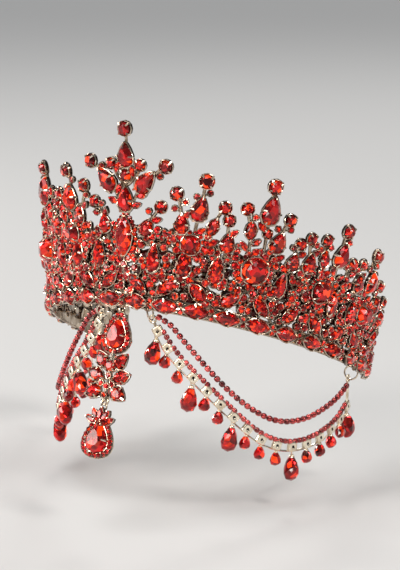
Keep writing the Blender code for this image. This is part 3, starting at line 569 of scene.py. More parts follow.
class Setter:
    """Sets stones on a surface: it piles up the cups, the claws and grains, and the small stones."""

    def __init__(self, surface, cups, claws, seed):
        self.surface, self.cups, self.claws = surface, cups, claws
        self.stones, self.behind = Pile(), Pile()
        self.random = np.random.default_rng(seed)
        self.taken = []

    def is_free(self, angle, up, reach):
        """Whether a round of the given reach fits between the stones that are set."""
        return all(apart((angle, up), spot) > reach + spot[2] for spot in self.taken)

    def set(self, kind, angle, up, length, width, lean=0.0, proud=0.0, rock=0.07, node=None, body="crown",
            behind=False):
        """One stone with its cup and claws, rocked a little; a named stone becomes a piece of its own."""
        tip, nod = self.random.normal(0.0, rock, 2)
        place, axes = frames_on(self.surface, angle, up, lean, tip, nod)
        clawed = width > CLAWED_WIDTH
        rim = 2 * CUP_MARGIN if clawed else CUP_MARGIN
        lip, foot = SEAT + proud + CUP_LIP, min(-SEAT, proud - SEAT)
        self.cups.stamp(CUP[kind] if clawed else SMALL_CUP[kind], place + axes[2] * (lip + foot) / 2, axes,
                        (width + rim, length + rim, (lip - foot) / 2))
        seat = place + axes[2] * (SEAT + proud)
        depth = STONE_DEPTH_SHARE * width
        if clawed:
            for claw in claws(kind, seat, axes, length, width, depth):
                self.claws.add(*claw)
        else:
            turns = self.random.uniform(0, 2 * math.pi) + np.arange(3) * GRAIN_TURN
            spots = unit_outline(kind, turns) * np.array([width, length]) * GRAIN_REACH
            self.claws.stamp(GRAIN, seat + spots @ axes[:2] + axes[2] * CUP_LIP * GRAIN_RISE, axes, GRAIN_SIZE)
        cut = CUT[kind] if width > FINE_CUT_WIDTH else CHIP[kind]
        if node:
            own = Pile()
            own.stamp(cut, seat + axes[2] * NAMED_STONE_LIFT, axes, (width, length, depth))
            own.finish(node + "_cut", [garnet_cut], body, "red_glass", node=[node])
        else:
            pile = self.behind if behind else self.stones
            pile.stamp(cut, seat, axes, (width, length, depth))
        self.taken.append((angle, up, (length + width) / 4))

    def ring(self, kind, angle, up, length, width, count, size, proud):
        """A halo of small round stones on an outline round a large stone, each tilted a little outwards, with
        a grain between each two."""
        place, axes = frames_on(self.surface, angle, up, 0.0)
        dense = unit_outline(kind, np.linspace(0, 2 * math.pi, 241)) * np.array([width + size, length + size])
        run = np.concatenate([[0.0], np.cumsum(np.linalg.norm(np.diff(dense, axis=0), axis=1))])

        def spaced(first, reach=1.0):
            """Even steps along the outline, the first at a share of a step."""
            marks = (np.arange(count) + first) * run[-1] / count
            return np.stack([np.interp(marks, run, dense[:, k] * reach) for k in range(2)], axis=-1)

        spots = spaced(0.5)
        places = place + spots @ axes[:2] + axes[2] * proud
        face = unit(axes[2] + HALO_TILT * spots / np.linalg.norm(spots, axis=1)[:, None] @ axes[:2])
        across = unit(axes[0] - face * (face @ axes[0])[:, None])
        frames = np.stack([across, np.cross(face, across), face], axis=1)
        self.cups.stamp(SMALL_CUP["round"], places, frames,
                        (size * HALO_CUP_SHARE, size * HALO_CUP_SHARE, SEAT))
        self.stones.stamp(CHIP["round"], places, frames,
                          (size * HALO_STONE_SHARE, size * HALO_STONE_SHARE, size * STONE_DEPTH_SHARE),
                          lift=SEAT * 0.9)
        grains = place + spaced(0.0, HALO_GRAIN_REACH) @ axes[:2] + axes[2] * (proud + SEAT)
        self.claws.stamp(GRAIN, grains, frames, size * HALO_GRAIN_SHARE)


def ball(columns, rows):
    """A ball one across: circles whose radius follows the sine of the way down from pole to pole."""
    down = (np.arange(rows) + 0.5) * math.pi / rows
    levels = [(math.sin(angle), math.cos(angle) / 2, 0, 1) for angle in down]
    return turned("round", columns, levels)


GRAIN = ball(5, 3)
ROUND = 0.0060
PEAR = (0.0110, 0.0072)
MARQUISE = (0.0108, 0.0052)
RAIL_MARQUISE = (0.0124, 0.0062)
crown_cups, crown_claws = Pile(), Pile()
crown_stones = Setter(crown_wall, crown_cups, crown_claws, 7)


def wall_wire(flat, radius=WIRE / 2, proud=0.0):
    """A round wire along (angle, up) points of the wall."""
    flat = np.asarray(flat, dtype=float)
    share = np.linspace(0, len(flat) - 1, 6 * len(flat))
    angle, up = (np.interp(share, np.arange(len(flat)), flat[:, k]) for k in range(2))
    openwork.add(*tube(crown_wall(angle, up, proud), radius))


# Centre spire
# The middle of the brow carries the tallest casting: a long marquise in a halo, then pears and rounds
# one over another up to the tip.
CENTRE_MARQUISE = (0.0182, 0.0080)
CENTRE_MARQUISE_UP = 0.395
CENTRE = [
    ("centre_tip", "round", 1.000, ROUND, ROUND, 0.0008),
    ("centre_upper_pear", "pear", 0.850, *PEAR, 0.0004),
    ("centre_round", "round", 0.735, ROUND * 0.9, ROUND * 0.9, 0.0),
    ("centre_lower_pear", "pear", 0.600, *PEAR, 0.0004),
    ("centre_marquise", "marquise", CENTRE_MARQUISE_UP, *CENTRE_MARQUISE, 0.0010),
]
for node, kind, share, length, width, proud in CENTRE:
    crown_stones.set(kind, 0.0, share * CROWN_HEIGHT, length, width, 0.0, proud, 0.02, node)
crown_stones.ring("marquise", 0.0, CENTRE_MARQUISE_UP * CROWN_HEIGHT, CENTRE_MARQUISE[0] + 0.0006,
                  CENTRE_MARQUISE[1] + 0.0010, 24, 0.0019, 0.0004)
wall_wire([(0.0, RAIL_HEIGHT), (0.0, CROWN_HEIGHT)])

# Rosettes
# Four large round stones in halos of small ones sit on the wall at each side. Each is a small casting of its
# own, soldered to the openwork behind it.
ROSETTE = 0.0125
ROSETTES = [(22.2, 0.400, 0.68), (42.8, 0.335, 1.00), (66.5, 0.325, 0.80), (89.5, 0.300, 0.80)]
ROSETTE_HALO = 1.06
SIDES = ((1, "left"), (-1, "right"))
for side, hand in SIDES:
    for number, (angle, height, size) in enumerate(ROSETTES):
        across, up = ROSETTE * size, height * CROWN_HEIGHT
        halo = across * ROSETTE_HALO
        crown_stones.set("round", side * angle, up, across, across, 0.0, 0.0012, 0.03,
                         f"{hand}_rosette_{number + 1}")
        crown_stones.ring("round", side * angle, up, halo, halo, round(16 * size) + 2, 0.0021, 0.0006)

# Lattice over the rail
# Marquises lie along the rail with pairs of small rounds between them. Over it a zigzag of marquises runs
# up to a wire, and a row of upright pears stands between that wire and the wall's top wire.
RAIL_ROUND = 0.0024
RAIL_ROUND_INSET = 0.9
UPRIGHT_ROOM = 0.0030
END_EYE = 0.00220
END_EYE_REACH = 0.00165
END_EYE_WIRE = 0.00055
posts = np.linspace(-BAND_REACH, BAND_REACH, RAIL_STONES + 1)


def rear_share(angle):
    """The pierced wall's height falls evenly towards its open ends."""
    fade = (np.abs(angle) / BAND_REACH - REAR_START_SHARE) / (1 - REAR_START_SHARE)
    return 1 - (1 - REAR_SHARE) * np.clip(fade, 0, 1)


def wire_loop(surface, angle, up, reach, radius):
    """A ring of round wire that lies in a surface round a place."""
    turn = np.radians(np.linspace(0, 360, 25))
    return tube(surface(angle + reach / ARC * np.cos(turn), up + reach * np.sin(turn)), radius)


middle_line = (RAIL_HEIGHT + ZIGZAG_SHARE * (PIERCED_HEIGHT - RAIL_HEIGHT)) * rear_share(posts)
top_line = PIERCED_HEIGHT * rear_share(posts)
for line in (middle_line, top_line):
    wall_wire(np.stack([posts, line], axis=-1))
for k in range(RAIL_STONES):
    middle = (posts[k] + posts[k + 1]) / 2
    crown_stones.set("marquise", middle, RAIL_HEIGHT / 2, *RAIL_MARQUISE, math.pi / 2, 0.0006, 0.10)
    low = [posts[k], RAIL_HEIGHT - WIRE / 2]
    high = [posts[k + 1], middle_line[k + 1]]
    if k % 2:
        low[0], high = posts[k + 1], [posts[k], middle_line[k]]
    wall_wire([low, high])
    run = np.array([(high[0] - low[0]) * ARC, high[1] - low[1]])
    length = min(MARQUISE[0], 0.78 * float(np.linalg.norm(run)))
    crown_stones.set("marquise", (low[0] + high[0]) / 2, (low[1] + high[1]) / 2, length, MARQUISE[1],
                     math.atan2(run[0], run[1]), 0.0006, 0.12)
for k in range(RAIL_STONES + 1):
    for up in (0.27, 0.73):
        inset = RAIL_ROUND_INSET * ((k == 0) - (k == RAIL_STONES))
        crown_stones.set("round", posts[k] + inset, up * RAIL_HEIGHT, RAIL_ROUND, RAIL_ROUND, 0.0, 0.0004, 0.1)
for k in range(1, RAIL_STONES):
    up = (middle_line[k] + top_line[k]) / 2
    length = (top_line[k] - middle_line[k]) * 0.98
    if crown_stones.is_free(posts[k], up, UPRIGHT_ROOM):
        crown_stones.set("pear", posts[k], up, length, PEAR[1] * 0.84, 0.0, 0.0003, 0.12)
for end in (-BAND_REACH, BAND_REACH):
    wall_wire([(end, 0.0), (end, PIERCED_HEIGHT * float(rear_share(end)))], WIRE)
    openwork.add(*wire_loop(crown_wall, end + math.copysign(END_EYE / ARC, end), RAIL_HEIGHT / 2,
                            END_EYE_REACH, END_EYE_WIRE))

# Sprigs and spires
# Slender stems rise from the wall, each with a round stone in a claw cup at its tip and a larger stone lower
# down; the tall ones stand like spires, and small leaves and rounds fill the forks.
SPRIGS = [
    (0.3, 1.85, 5.0, 0.800, 0.08, 0.76, []),
    (0.3, 1.36, 13.0, 0.810, -0.08, 0.92, [("pear", 0.62, 1.10, 1.00)]),
    (6.5, 0.98, 12.0, 0.580, -0.08, 0.82, [("pear", 0.40, 0.72, 0.80)]),
    (18.6, 0.98, 16.8, 0.669, 0.06, 0.90, [("pear", 0.46, 0.80, 0.82)]),
    (22.5, 1.09, 25.2, 0.763, 0.00, 1.00, [("pear", 0.56, 1.02, 1.00)]),
    (27.0, 0.98, 31.4, 0.639, -0.06, 0.84, [("marquise", 0.55, 0.82, 0.90)]),
    (33.5, 0.98, 33.0, 0.574, 0.00, 0.80, [("pear", 0.42, 0.80, 0.84)]),
    (40.0, 0.98, 38.0, 0.657, 0.06, 0.84, [("marquise", 0.62, 0.78, 0.95)]),
    (45.0, 0.98, 45.0, 0.817, 0.00, 1.00, [("pear", 0.70, 1.20, 1.10), ("round", 0.42, 0.62, 0.62)]),
    (48.5, 0.98, 51.4, 0.657, -0.06, 0.84, [("pear", 0.52, 0.86, 0.90)]),
    (54.5, 0.98, 56.4, 0.544, -0.04, 0.78, [("pear", 0.40, 0.74, 0.80)]),
    (60.5, 0.98, 59.4, 0.592, 0.04, 0.84, [("pear", 0.42, 0.82, 0.84)]),
    (66.0, 0.98, 65.2, 0.612, 0.00, 0.84, [("marquise", 0.56, 0.80, 1.00)]),
    (71.5, 0.98, 72.4, 0.698, 0.00, 1.00, [("pear", 0.58, 1.02, 1.00)]),
    (76.5, 0.98, 78.0, 0.538, -0.05, 0.84, []),
    (82.5, 0.98, 83.0, 0.560, 0.00, 0.80, [("pear", 0.42, 0.80, 0.84)]),
    (89.5, 0.86, 90.0, 0.640, 0.00, 1.00, [("pear", 0.52, 1.00, 1.00)]),
    (97.5, 0.76, 98.5, 0.500, 0.00, 0.84, [("pear", 0.46, 0.80, 0.84)]),
    (106.5, 0.65, 107.5, 0.440, 0.00, 0.84, [("pear", 0.50, 0.80, 0.84)]),
]
STEM = 0.00085
LEAF_SHARES = ((0.16, 1), (0.22, -1), (0.34, 1), (0.42, -1), (0.56, 1), (0.66, -1), (0.76, 1), (0.86, -1))
SPIRES = {1: "inner_sprig", 4: "spire_1", 8: "spire_2", 9: "outer_sprig", 13: "spire_3", 16: "spire_4"}
SIZES = {"round": (ROUND, ROUND), "pear": PEAR, "marquise": MARQUISE}


def stem_at(foot, tip, bow, share):
    """A place on a stem: the straight way from foot to tip, pushed sideways by a parabola of height bow."""
    share = np.asarray(share, dtype=float)[..., None]
    foot, tip = np.array(foot), np.array(tip)
    sideways = np.array([(tip[1] - foot[1]) / ARC, (foot[0] - tip[0]) * ARC]) * bow
    return foot + (tip - foot) * share + sideways * 4 * share * (1 - share)


def on_stem(foot, tip, bow, share):
    """The place at a share of a stem, and how far the stem leans there."""
    before, here, after = stem_at(foot, tip, bow, [share - 0.02, share, share + 0.02])
    return here, math.atan2((after[0] - before[0]) * ARC, after[1] - before[1])


leaves = []
for side, hand in SIDES:
    for number, (foot_angle, foot, tip_angle, tip, bow, tip_size, stones) in enumerate(SPRIGS):
        start = (side * foot_angle, foot * PIERCED_HEIGHT)
        end = (side * tip_angle, tip * CROWN_HEIGHT)
        stem = stem_at(start, end, side * bow, np.linspace(0, 1, 9))
        wall_wire(stem, STEM)
        spire = SPIRES.get(number)
        node = f"{hand}_{spire}_tip" if spire else None
        crown_stones.set("round", *end, ROUND * tip_size, ROUND * tip_size, 0.0, 0.0006, 0.10, node)
        for order, (kind, share, long_share, wide_share) in enumerate(stones):
            here, lean = on_stem(start, end, side * bow, share)
            length, width = SIZES[kind][0] * long_share, SIZES[kind][1] * wide_share
            node = f"{hand}_{spire}_{kind}" if spire and order == 0 else None
            crown_stones.set(kind, *here, length, width, lean, 0.0006, 0.08, node)
        for share, way in LEAF_SHARES:
            leaves.append((start, end, side * bow, share, way))

# Leaves and seeds of glass between the stems
# Small marquise leaves and rounds stand on short stalks from the stems. Still smaller rounds are set wherever
# room is left, sprays of leaves lie in front of them, and stones close the wall from behind, their glass
# painted near-black as shade.
LEAF_REACH = 0.0034
LEAF_ROOM = 0.0011
LEAF_SPREAD = math.radians(48)
LEAF_STALK = WIRE * 0.38
LEAF_STONE = (0.0052, 0.0028)
BUD = 0.0027
for start, end, bow, share, way in leaves:
    here, lean = on_stem(start, end, bow, share)
    lean += way * LEAF_SPREAD
    middle = (here[0] + math.sin(lean) * LEAF_REACH / ARC, here[1] + math.cos(lean) * LEAF_REACH)
    if not crown_stones.is_free(*middle, LEAF_ROOM):
        continue
    wall_wire([here, middle], LEAF_STALK)
    if share < 0.6:
        crown_stones.set("marquise", *middle, *LEAF_STONE, lean, 0.0004, 0.15)
    else:
        crown_stones.set("round", *middle, BUD, BUD, lean, 0.0004, 0.15)

FILL_STEP = (1.9, 0.0026)
FILL_ROUNDS = (0.0034, 0.0028, 0.0022, 0.0017)
BACK_STEP = (3.4, 0.0046)
BACK_DEPTH = 0.0020
SPRAY_STEP = (6.4, 0.0088)
SPRAY_LIFT = 0.0014
SPRAY_ROOM = 0.0012
SPRAY_LEAF = (0.0046, 0.0023)
SPRAY_REACH = 0.0024
BACK_PEAR = (0.0056, 0.0038)
BACK_ROUND = (0.0036, 0.0036)
LARGE_REACH = 0.0016
fill = np.random.default_rng(23)


def wall_grid(steps, above):
    """Places on a shaken grid over the pierced wall, up to a little above its top wire."""
    angle, up = np.meshgrid(np.arange(-BAND_REACH + 2, BAND_REACH - 1, steps[0]),
                            np.arange(RAIL_HEIGHT + 0.0022, PIERCED_HEIGHT + above, steps[1]))
    angle, up = angle.ravel(), up.ravel()
    angle = angle + fill.uniform(-0.3, 0.3, angle.shape) * steps[0]
    up = up + fill.uniform(-0.3, 0.3, up.shape) * steps[1]
    kept = up < (PIERCED_HEIGHT + above) * rear_share(angle)
    return zip(angle[kept].tolist(), up[kept].tolist())


for angle, up in wall_grid(FILL_STEP, 0.0075):
    for size in FILL_ROUNDS:
        if crown_stones.is_free(angle, up, size * 0.36):
            near = min(crown_stones.taken, key=lambda spot: apart((angle, up), spot))
            wall_wire([(angle, up), near[:2]], WIRE * 0.35, -0.0002)
            crown_stones.set("round", angle, up, size, size, 0.0, fill.uniform(-0.0004, 0.0012), 0.22)
            break
large_stones = [spot for spot in crown_stones.taken if spot[2] > LARGE_REACH]
for angle, up in wall_grid(SPRAY_STEP, 0.0105):
    if any(apart((angle, up), spot) < spot[2] + SPRAY_ROOM for spot in large_stones):
        continue
    heading = fill.uniform(-0.7, 0.7)
    for turn in (-0.75, 0.0, 0.75):
        lean = heading + turn
        leaf = (angle + SPRAY_REACH * math.sin(lean) / ARC, up + SPRAY_REACH * math.cos(lean))
        if any(apart(leaf, spot) < spot[2] * 0.9 for spot in large_stones):
            continue
        crown_stones.set("marquise", *leaf, *SPRAY_LEAF, lean, SPRAY_LIFT, 0.25)
for angle, up in wall_grid(BACK_STEP, 0.0045):
    kind = "pear" if fill.uniform() < 0.4 else "round"
    size = BACK_PEAR if kind == "pear" else BACK_ROUND
    crown_stones.set(kind, angle, up, *size, fill.uniform(-1.2, 1.2), -BACK_DEPTH, 0.25, behind=True)

# Hinge eyes of the rail
# Five small eyes of wire are soldered under the rail. The middle one carries the pendant, and the other four
# the rings at the ends of the two swags.
EYE_HOLE = 0.0022
EYE_RIM = 0.0011
EYE_RISE = 0.0014
LINKS = [("front", 9.4, 1.2), ("rear", 95.5, -0.6)]
LINK_DROP = 0.0060


def eye_loop(surface, angle, up):
    """A ring of wire that lies in a surface round an eye's hole."""
    return wire_loop(surface, angle, up, (EYE_HOLE + EYE_RIM) / 2, EYE_RIM / 2)


for angle in (0.0, *(side * angle for _, angle, _ in LINKS for side, _ in SIDES)):
    openwork.add(*eye_loop(crown_wall, angle, EYE_RISE))
openwork.finish("crown_openwork", [shaded_champagne], "crown", "silver_metal", smooth=True,
                node=["crown_frame"])
crown_cups.finish("crown_cups", [champagne], "crown", "silver_metal", smooth=True)
crown_claws.finish("crown_claws", [champagne], "crown", "silver_metal", smooth=True)
crown_stones.stones.finish("crown_small_stones", [garnet_chip], "crown", "red_glass")
crown_stones.behind.finish("crown_back_stones", [garnet_shadow], "crown", "red_glass")

# Pendant on the brow
# The upper piece hangs from the rail's middle eye: a pear stone in a halo, a round heart stone under it, and
# a spray of pears and marquises like a butterfly. The lower one hangs from it: a fan over a large haloed pear.
PENDANT_LEAN = math.radians(21.3)
PENDANT_LENGTH = 0.0715
HALO = (0.0200, 0.0152)
DROP = (0.0200, 0.0164)
HALO_BAND = 0.0030
RING_WIRE = 0.0009
RING_REACH = 0.0023
DROP_LINK = 0.0065
FAN_DROP = 0.0066
FAN_REACH = 0.0048
FAN_STONE = (0.0066, 0.0031)
PENDANT_LEAVES = [
    ("pear", 0.070, 0.366, 0.86, 0.90, 38.0),
    ("marquise", 0.092, 0.469, 1.00, 0.95, 68.0),
    ("pear", 0.092, 0.580, 0.82, 1.05, 120.0),
]
LEAF = (0.0086, 0.0056)
HEART_ROUNDS = [(0.0, 0.0335), (0.0, 0.0382), (-0.0031, 0.0372), (0.0031, 0.0372), (0.0, 0.0425)]
HEART_SHARE = 0.403
HEART = 0.0052
FAN_TURNS = (-64.0, -32.0, 0.0, 32.0, 64.0)
FAN_ROUND = 0.0032
top_hinge = np.array(frame["joints"][0]["pos_m"])
low_hinge = np.array(frame["joints"][1]["pos_m"])
BROW_UP = np.array([0.0, math.sin(PENDANT_LEAN), math.cos(PENDANT_LEAN)])
BROW_FRONT = np.array([0.0, -math.cos(PENDANT_LEAN), math.sin(PENDANT_LEAN)])


def brow(angle, up):
    """Points on the flat plane of the pendant through the top hinge; angle is turned to a length by the arc."""
    angle, up = evened(angle, up)
    return top_hinge + (angle * ARC)[..., None] * np.array([1.0, 0.0, 0.0]) + up[..., None] * BROW_UP


# Painted shade: the plate's top, under its stones, is painted dark, as the last number of its first level tells.
PLATE_LEVELS = [(0.90, 1.0, 0, 0.2), (1.0, 0.6, 0, 0.9), (1.0, -0.6, 0, 0.9), (0.92, -1.0, 0, 0.8)]


def haloed_pear(setter, node, body, up, length, width, count):
    """A pear plate with a large stone in the middle and a ring of small stones round it."""
    place, axes = frames_on(brow, 0.0, up, 0.0)
    setter.cups.stamp(turned("pear", 28, PLATE_LEVELS), place, axes, (width, length, SEAT))
    inner = (length - 2 * HALO_BAND, width - 2 * HALO_BAND)
    setter.set("pear", 0.0, up - HALO_BAND * 0.2, *inner, 0.0, 0.0, 0.0, node, body)
    setter.ring("pear", 0.0, up, inner[0] + 0.0004, inner[1] + 0.0004, count, 0.0023, 0.0004)


def wire_ring(centre, reach, toward, over):
    """A ring of round wire: its centre plus its reach times the cosine of one axis and the sine of another."""
    turn = np.radians(np.linspace(0, 360, 29))[:, None]
    circle = centre + reach * (np.cos(turn) * toward + np.sin(turn) * over)
    return tube(circle, RING_WIRE / 2, 8, np.cross(toward, over))


def hinge_ring(pile, hinge):
    """The wire ring soldered to a hanging piece, round the eye over it."""
    pile.add(*wire_ring(hinge - BROW_UP * RING_REACH, RING_REACH, -BROW_UP, BROW_FRONT))


pendant_metal = Pile()
pendant_stones = Setter(brow, pendant_metal, pendant_metal, 11)
lower_eye = -(PENDANT_LENGTH - DROP[0] - DROP_LINK)
halo_middle = -(RING_REACH * 2 + HALO[0] / 2 - RING_WIRE)
haloed_pear(pendant_stones, "pendant_halo_stone", "pendant", halo_middle, *HALO, 20)
pendant_metal.add(*tube(brow(0.0, np.linspace(halo_middle, lower_eye, 5)), WIRE))
pendant_stones.set("round", 0.0, -HEART_SHARE * PENDANT_LENGTH, HEART, HEART, 0.0, 0.0, 0.03,
                   "pendant_heart_stone", "pendant")
for side in (-1, 1):
    for kind, across_share, down_share, long_share, wide_share, lean in PENDANT_LEAVES:
        across, down = side * across_share * PENDANT_LENGTH, down_share * PENDANT_LENGTH
        stalk = np.array([(0.0, -down - 0.0020), (across / 2, -down - 0.0010), (across, -down)])
        pendant_metal.add(*tube(brow(stalk[:, 0] / ARC, stalk[:, 1]), WIRE / 2))
        pendant_stones.set(kind, across / ARC, -down, LEAF[0] * long_share, LEAF[1] * wide_share,
                           side * math.radians(lean), 0.0004, 0.09)
for across, down in HEART_ROUNDS:
    pendant_stones.set("round", across / ARC, -down, 0.0026, 0.0026, 0.0, 0.0009, 0.08)
pendant_metal.add(*eye_loop(brow, 0.0, lower_eye))
hinge_ring(pendant_metal, top_hinge)
pendant_metal.finish("pendant_setting", [champagne], "pendant", "silver_metal", True, ["pendant_frame"])
pendant_stones.stones.finish("pendant_small_stones", [garnet_chip], "pendant", "red_glass")

drop_metal = Pile()
drop_stones = Setter(brow, drop_metal, drop_metal, 13)
drop_middle = -(PENDANT_LENGTH - DROP[0] / 2)
haloed_pear(drop_stones, "drop_stone", "drop", drop_middle, *DROP, 21)
drop_top = lower_eye - 2 * RING_REACH
fan_middle = drop_top - FAN_DROP
drop_metal.add(*tube(brow(0.0, np.linspace(drop_top + 0.0004, drop_middle, 5)), WIRE / 2))
for turn in np.radians(FAN_TURNS):
    drop_stones.set("marquise", FAN_REACH * math.sin(turn) / ARC, fan_middle + FAN_REACH * math.cos(turn),
                    *FAN_STONE, turn, 0.0012, 0.08)
drop_stones.set("round", 0.0, fan_middle, FAN_ROUND, FAN_ROUND, 0.0, 0.0016, 0.05)
hinge_ring(drop_metal, low_hinge)
drop_metal.finish("drop_setting", [champagne], "drop", "silver_metal", True, ["drop_frame"])
drop_stones.stones.finish("drop_small_stones", [garnet_chip], "drop", "red_glass")

# Seed strings
# At each side a string of garnet-red seed beads hangs in a curve above the chain. The beads are threaded on
# dark silk, which is knotted to the ring at each end.
SEED_ROUTE = [
    (12.95, 0.0327), (17.4, 0.0290), (21.0, 0.0234), (30.0, 0.0096), (36.0, 0.0008), (42.0, -0.0068),
    (48.0, -0.0128), (54.0, -0.0172), (61.0, -0.0195), (69.0, -0.0195), (77.0, -0.0176), (85.0, -0.0150),
    (93.4, -0.0113),
]
SEED = 0.0029
SEED_PITCH = 0.0034
THREAD = 0.00035


def smooth_route(route, spacing):
    """Even steps along a smooth curve through given points, each blended from its four neighbours."""
    points = np.array([(angle * ARC, up) for angle, up in route])
    padded = np.concatenate([[2 * points[0] - points[1]], points, [2 * points[-1] - points[-2]]])
    share = np.linspace(0, 1, 12, endpoint=False)[:, None]
    dense = []
    for a, b, c, d in zip(padded, padded[1:], padded[2:], padded[3:]):
        dense.append(0.5 * (2 * b + (c - a) * share + (2 * a - 5 * b + 4 * c - d) * share ** 2
                            + (3 * b - a - 3 * c + d) * share ** 3))
    dense = np.concatenate(dense + [points[-1:]])
    length = np.concatenate([[0.0], np.cumsum(np.linalg.norm(np.diff(dense, axis=0), axis=1))])
    count = max(int(round(length[-1] / spacing)), 2)
    marks = np.linspace(0, length[-1], count + 1)
    return np.stack([np.interp(marks, length, dense[:, k]) for k in range(2)], axis=-1)


def bead_shape(columns, rows):
    """A seed bead one across and one long on its string: a fat ring whose side is half a circle."""
    down = np.linspace(0, math.pi, rows)
    levels = [(0.34, 0.36, 0, 1)]
    levels += [(0.60 + 0.40 * math.sin(angle), 0.44 * math.cos(angle), 0, 1) for angle in down]
    levels += [(0.34, -0.36, 0, 1)]
    return turned("round", columns, levels)


def axes_along(points):
    """Three unit axes at each point of a path, the third along the path."""
    ahead = unit(np.gradient(points, axis=0))
    side = unit(np.cross(ahead, np.array([0.0, 0.0, 1.0])))
    return np.stack([np.cross(side, ahead), side, ahead], axis=1)


# Painted light: large cells make some beads pale pink, as if lit, and others dark red, as if in shade, and the
# glass glows faintly.
garnet_bead = foiled_glass("garnet_bead_glass", (0.24, 0.002, 0.004, 1.0), (1.0, 0.15, 0.14, 1.0),
                           (0.9, 0.08, 0.05, 1.0), 0.0022, 0.04, 0.03, metallic=0.80, rough=0.22)
silk, silk_tree, silk_shader = plain_material("dark_silk")
silk_where = add_node(silk_tree, "TexCoord").outputs["Object"]
twist = add_node(silk_tree, "TexNoise", {"Vector": silk_where, "Scale": 1800.0})
twist_ramp = add_node(silk_tree, "ValToRGB", {"Fac": twist.outputs["Fac"]})
for stop, colour in zip(twist_ramp.color_ramp.elements, ((0.05, 0.006, 0.008, 1.0), (0.16, 0.02, 0.02, 1.0))):
    stop.color = colour
connect(silk_tree, silk_shader, {"Base Color": twist_ramp.outputs["Color"], "Roughness": 0.7})
SEED_SHAPE = bead_shape(12, 7)
for side, hand in SIDES:
    flat = smooth_route(SEED_ROUTE, SEED_PITCH)
    places = head_side(side * flat[:, 0] / ARC, flat[:, 1])
    string = Pile()
    string.stamp(SEED_SHAPE, places, axes_along(places), (SEED, SEED, SEED * 0.98))
    string.add(*tube(places, THREAD, 6), 1)
    string.finish(f"{hand}_seed_beads", [garnet_bead, silk], "crown", "seed_beads", True,
                  [f"{hand}_seed_string"])

# Swag chains
# Under the seed string hangs a chain of square silver beads on a wire, with a row of small red beads along its
# top and faceted red drops under it. Every third to fifth drop is a large one.
CHAIN_ROUTE = [
    (12.6, 0.0262), (17.0, 0.0168), (22.5, 0.0088), (28.0, 0.0015), (33.5, -0.0060), (39.5, -0.0140),
    (45.0, -0.0210), (50.0, -0.0262), (56.0, -0.0300), (62.0, -0.0318), (68.0, -0.0320), (74.0, -0.0311),
    (81.0, -0.0290), (88.0, -0.0260), (94.0, -0.0215),
]
SQUARE = 0.0048
SQUARES = 16
ROW_BEAD = 0.0027
SWAG_WIRE = 0.0009
LARGE_DROPS = (0, 3, 6, 10, 15)
LARGE_DROP = (0.0125, 0.0076)
SMALL_DROP = (0.0068, 0.0054)
LARGE_DROP_CAP = 0.0012
SQUARE_THICK = 0.0022


def square_ring(share, height, power, columns=24):
    """A ring between a circle (power 2) and a square (high power), by the rule of the superellipse."""
    turn = np.arange(columns) * 2 * math.pi / columns
    reach = share / 2 / (np.abs(np.cos(turn)) ** power + np.abs(np.sin(turn)) ** power) ** (1 / power)
    return np.stack([reach * np.cos(turn), reach * np.sin(turn), np.full(columns, height)], axis=-1)


SQUARE_RINGS = [
    (0.22, -0.25, 2), (0.27, 0.42, 2), (0.36, 0.50, 2), (0.82, 0.50, 9), (0.95, 0.40, 9), (1.00, 0.25, 9),
    (1.00, -0.30, 9), (0.90, -0.46, 9),
]
square_points = np.concatenate([square_ring(*ring) for ring in SQUARE_RINGS])
square_faces = strip_faces(len(SQUARE_RINGS), 24)
# Painted shade: the first ring, the floor of the dimple in each square, is 0 here and turns dark.
square_unshaded = np.repeat([0.0, 0.6, 1.0, 1.0, 1.0, 0.9, 0.7, 0.8], 24)
DROP_LEVELS = [(0.50, 1.00, 0, 1), (0.80, 0.64, 1, 1), (1.0, 0.12, 0, 1), (1.0, -0.12, 0, 1),
               (0.80, -0.64, 1, 1), (0.50, -1.00, 0, 1)]
DROP_SHAPE = turned("pear", 10, DROP_LEVELS)
# A near-black plating, painted shade for the dimple in each square.
dimple_shade = plated_material("painted_dimple_shade", (0.05, 0.045, 0.04), (0.02, 0.018, 0.016), 0.4, 0.7)
bright_square = plated_material("bright_plating", (0.96, 0.87, 0.70), (0.72, 0.60, 0.44), 0.20, 0.34)


def swag_place(flat, side):
    """Flat (arc length, height) places on the side of the head."""
    return head_side(side * flat[..., 0] / ARC, flat[..., 1])


def way_along(flat):
    """The heading at each point of a flat path, and the normal, which is the heading turned a quarter left."""
    heading = unit(np.gradient(flat, axis=0))
    return heading, np.stack([-heading[:, 1], heading[:, 0]], axis=-1)


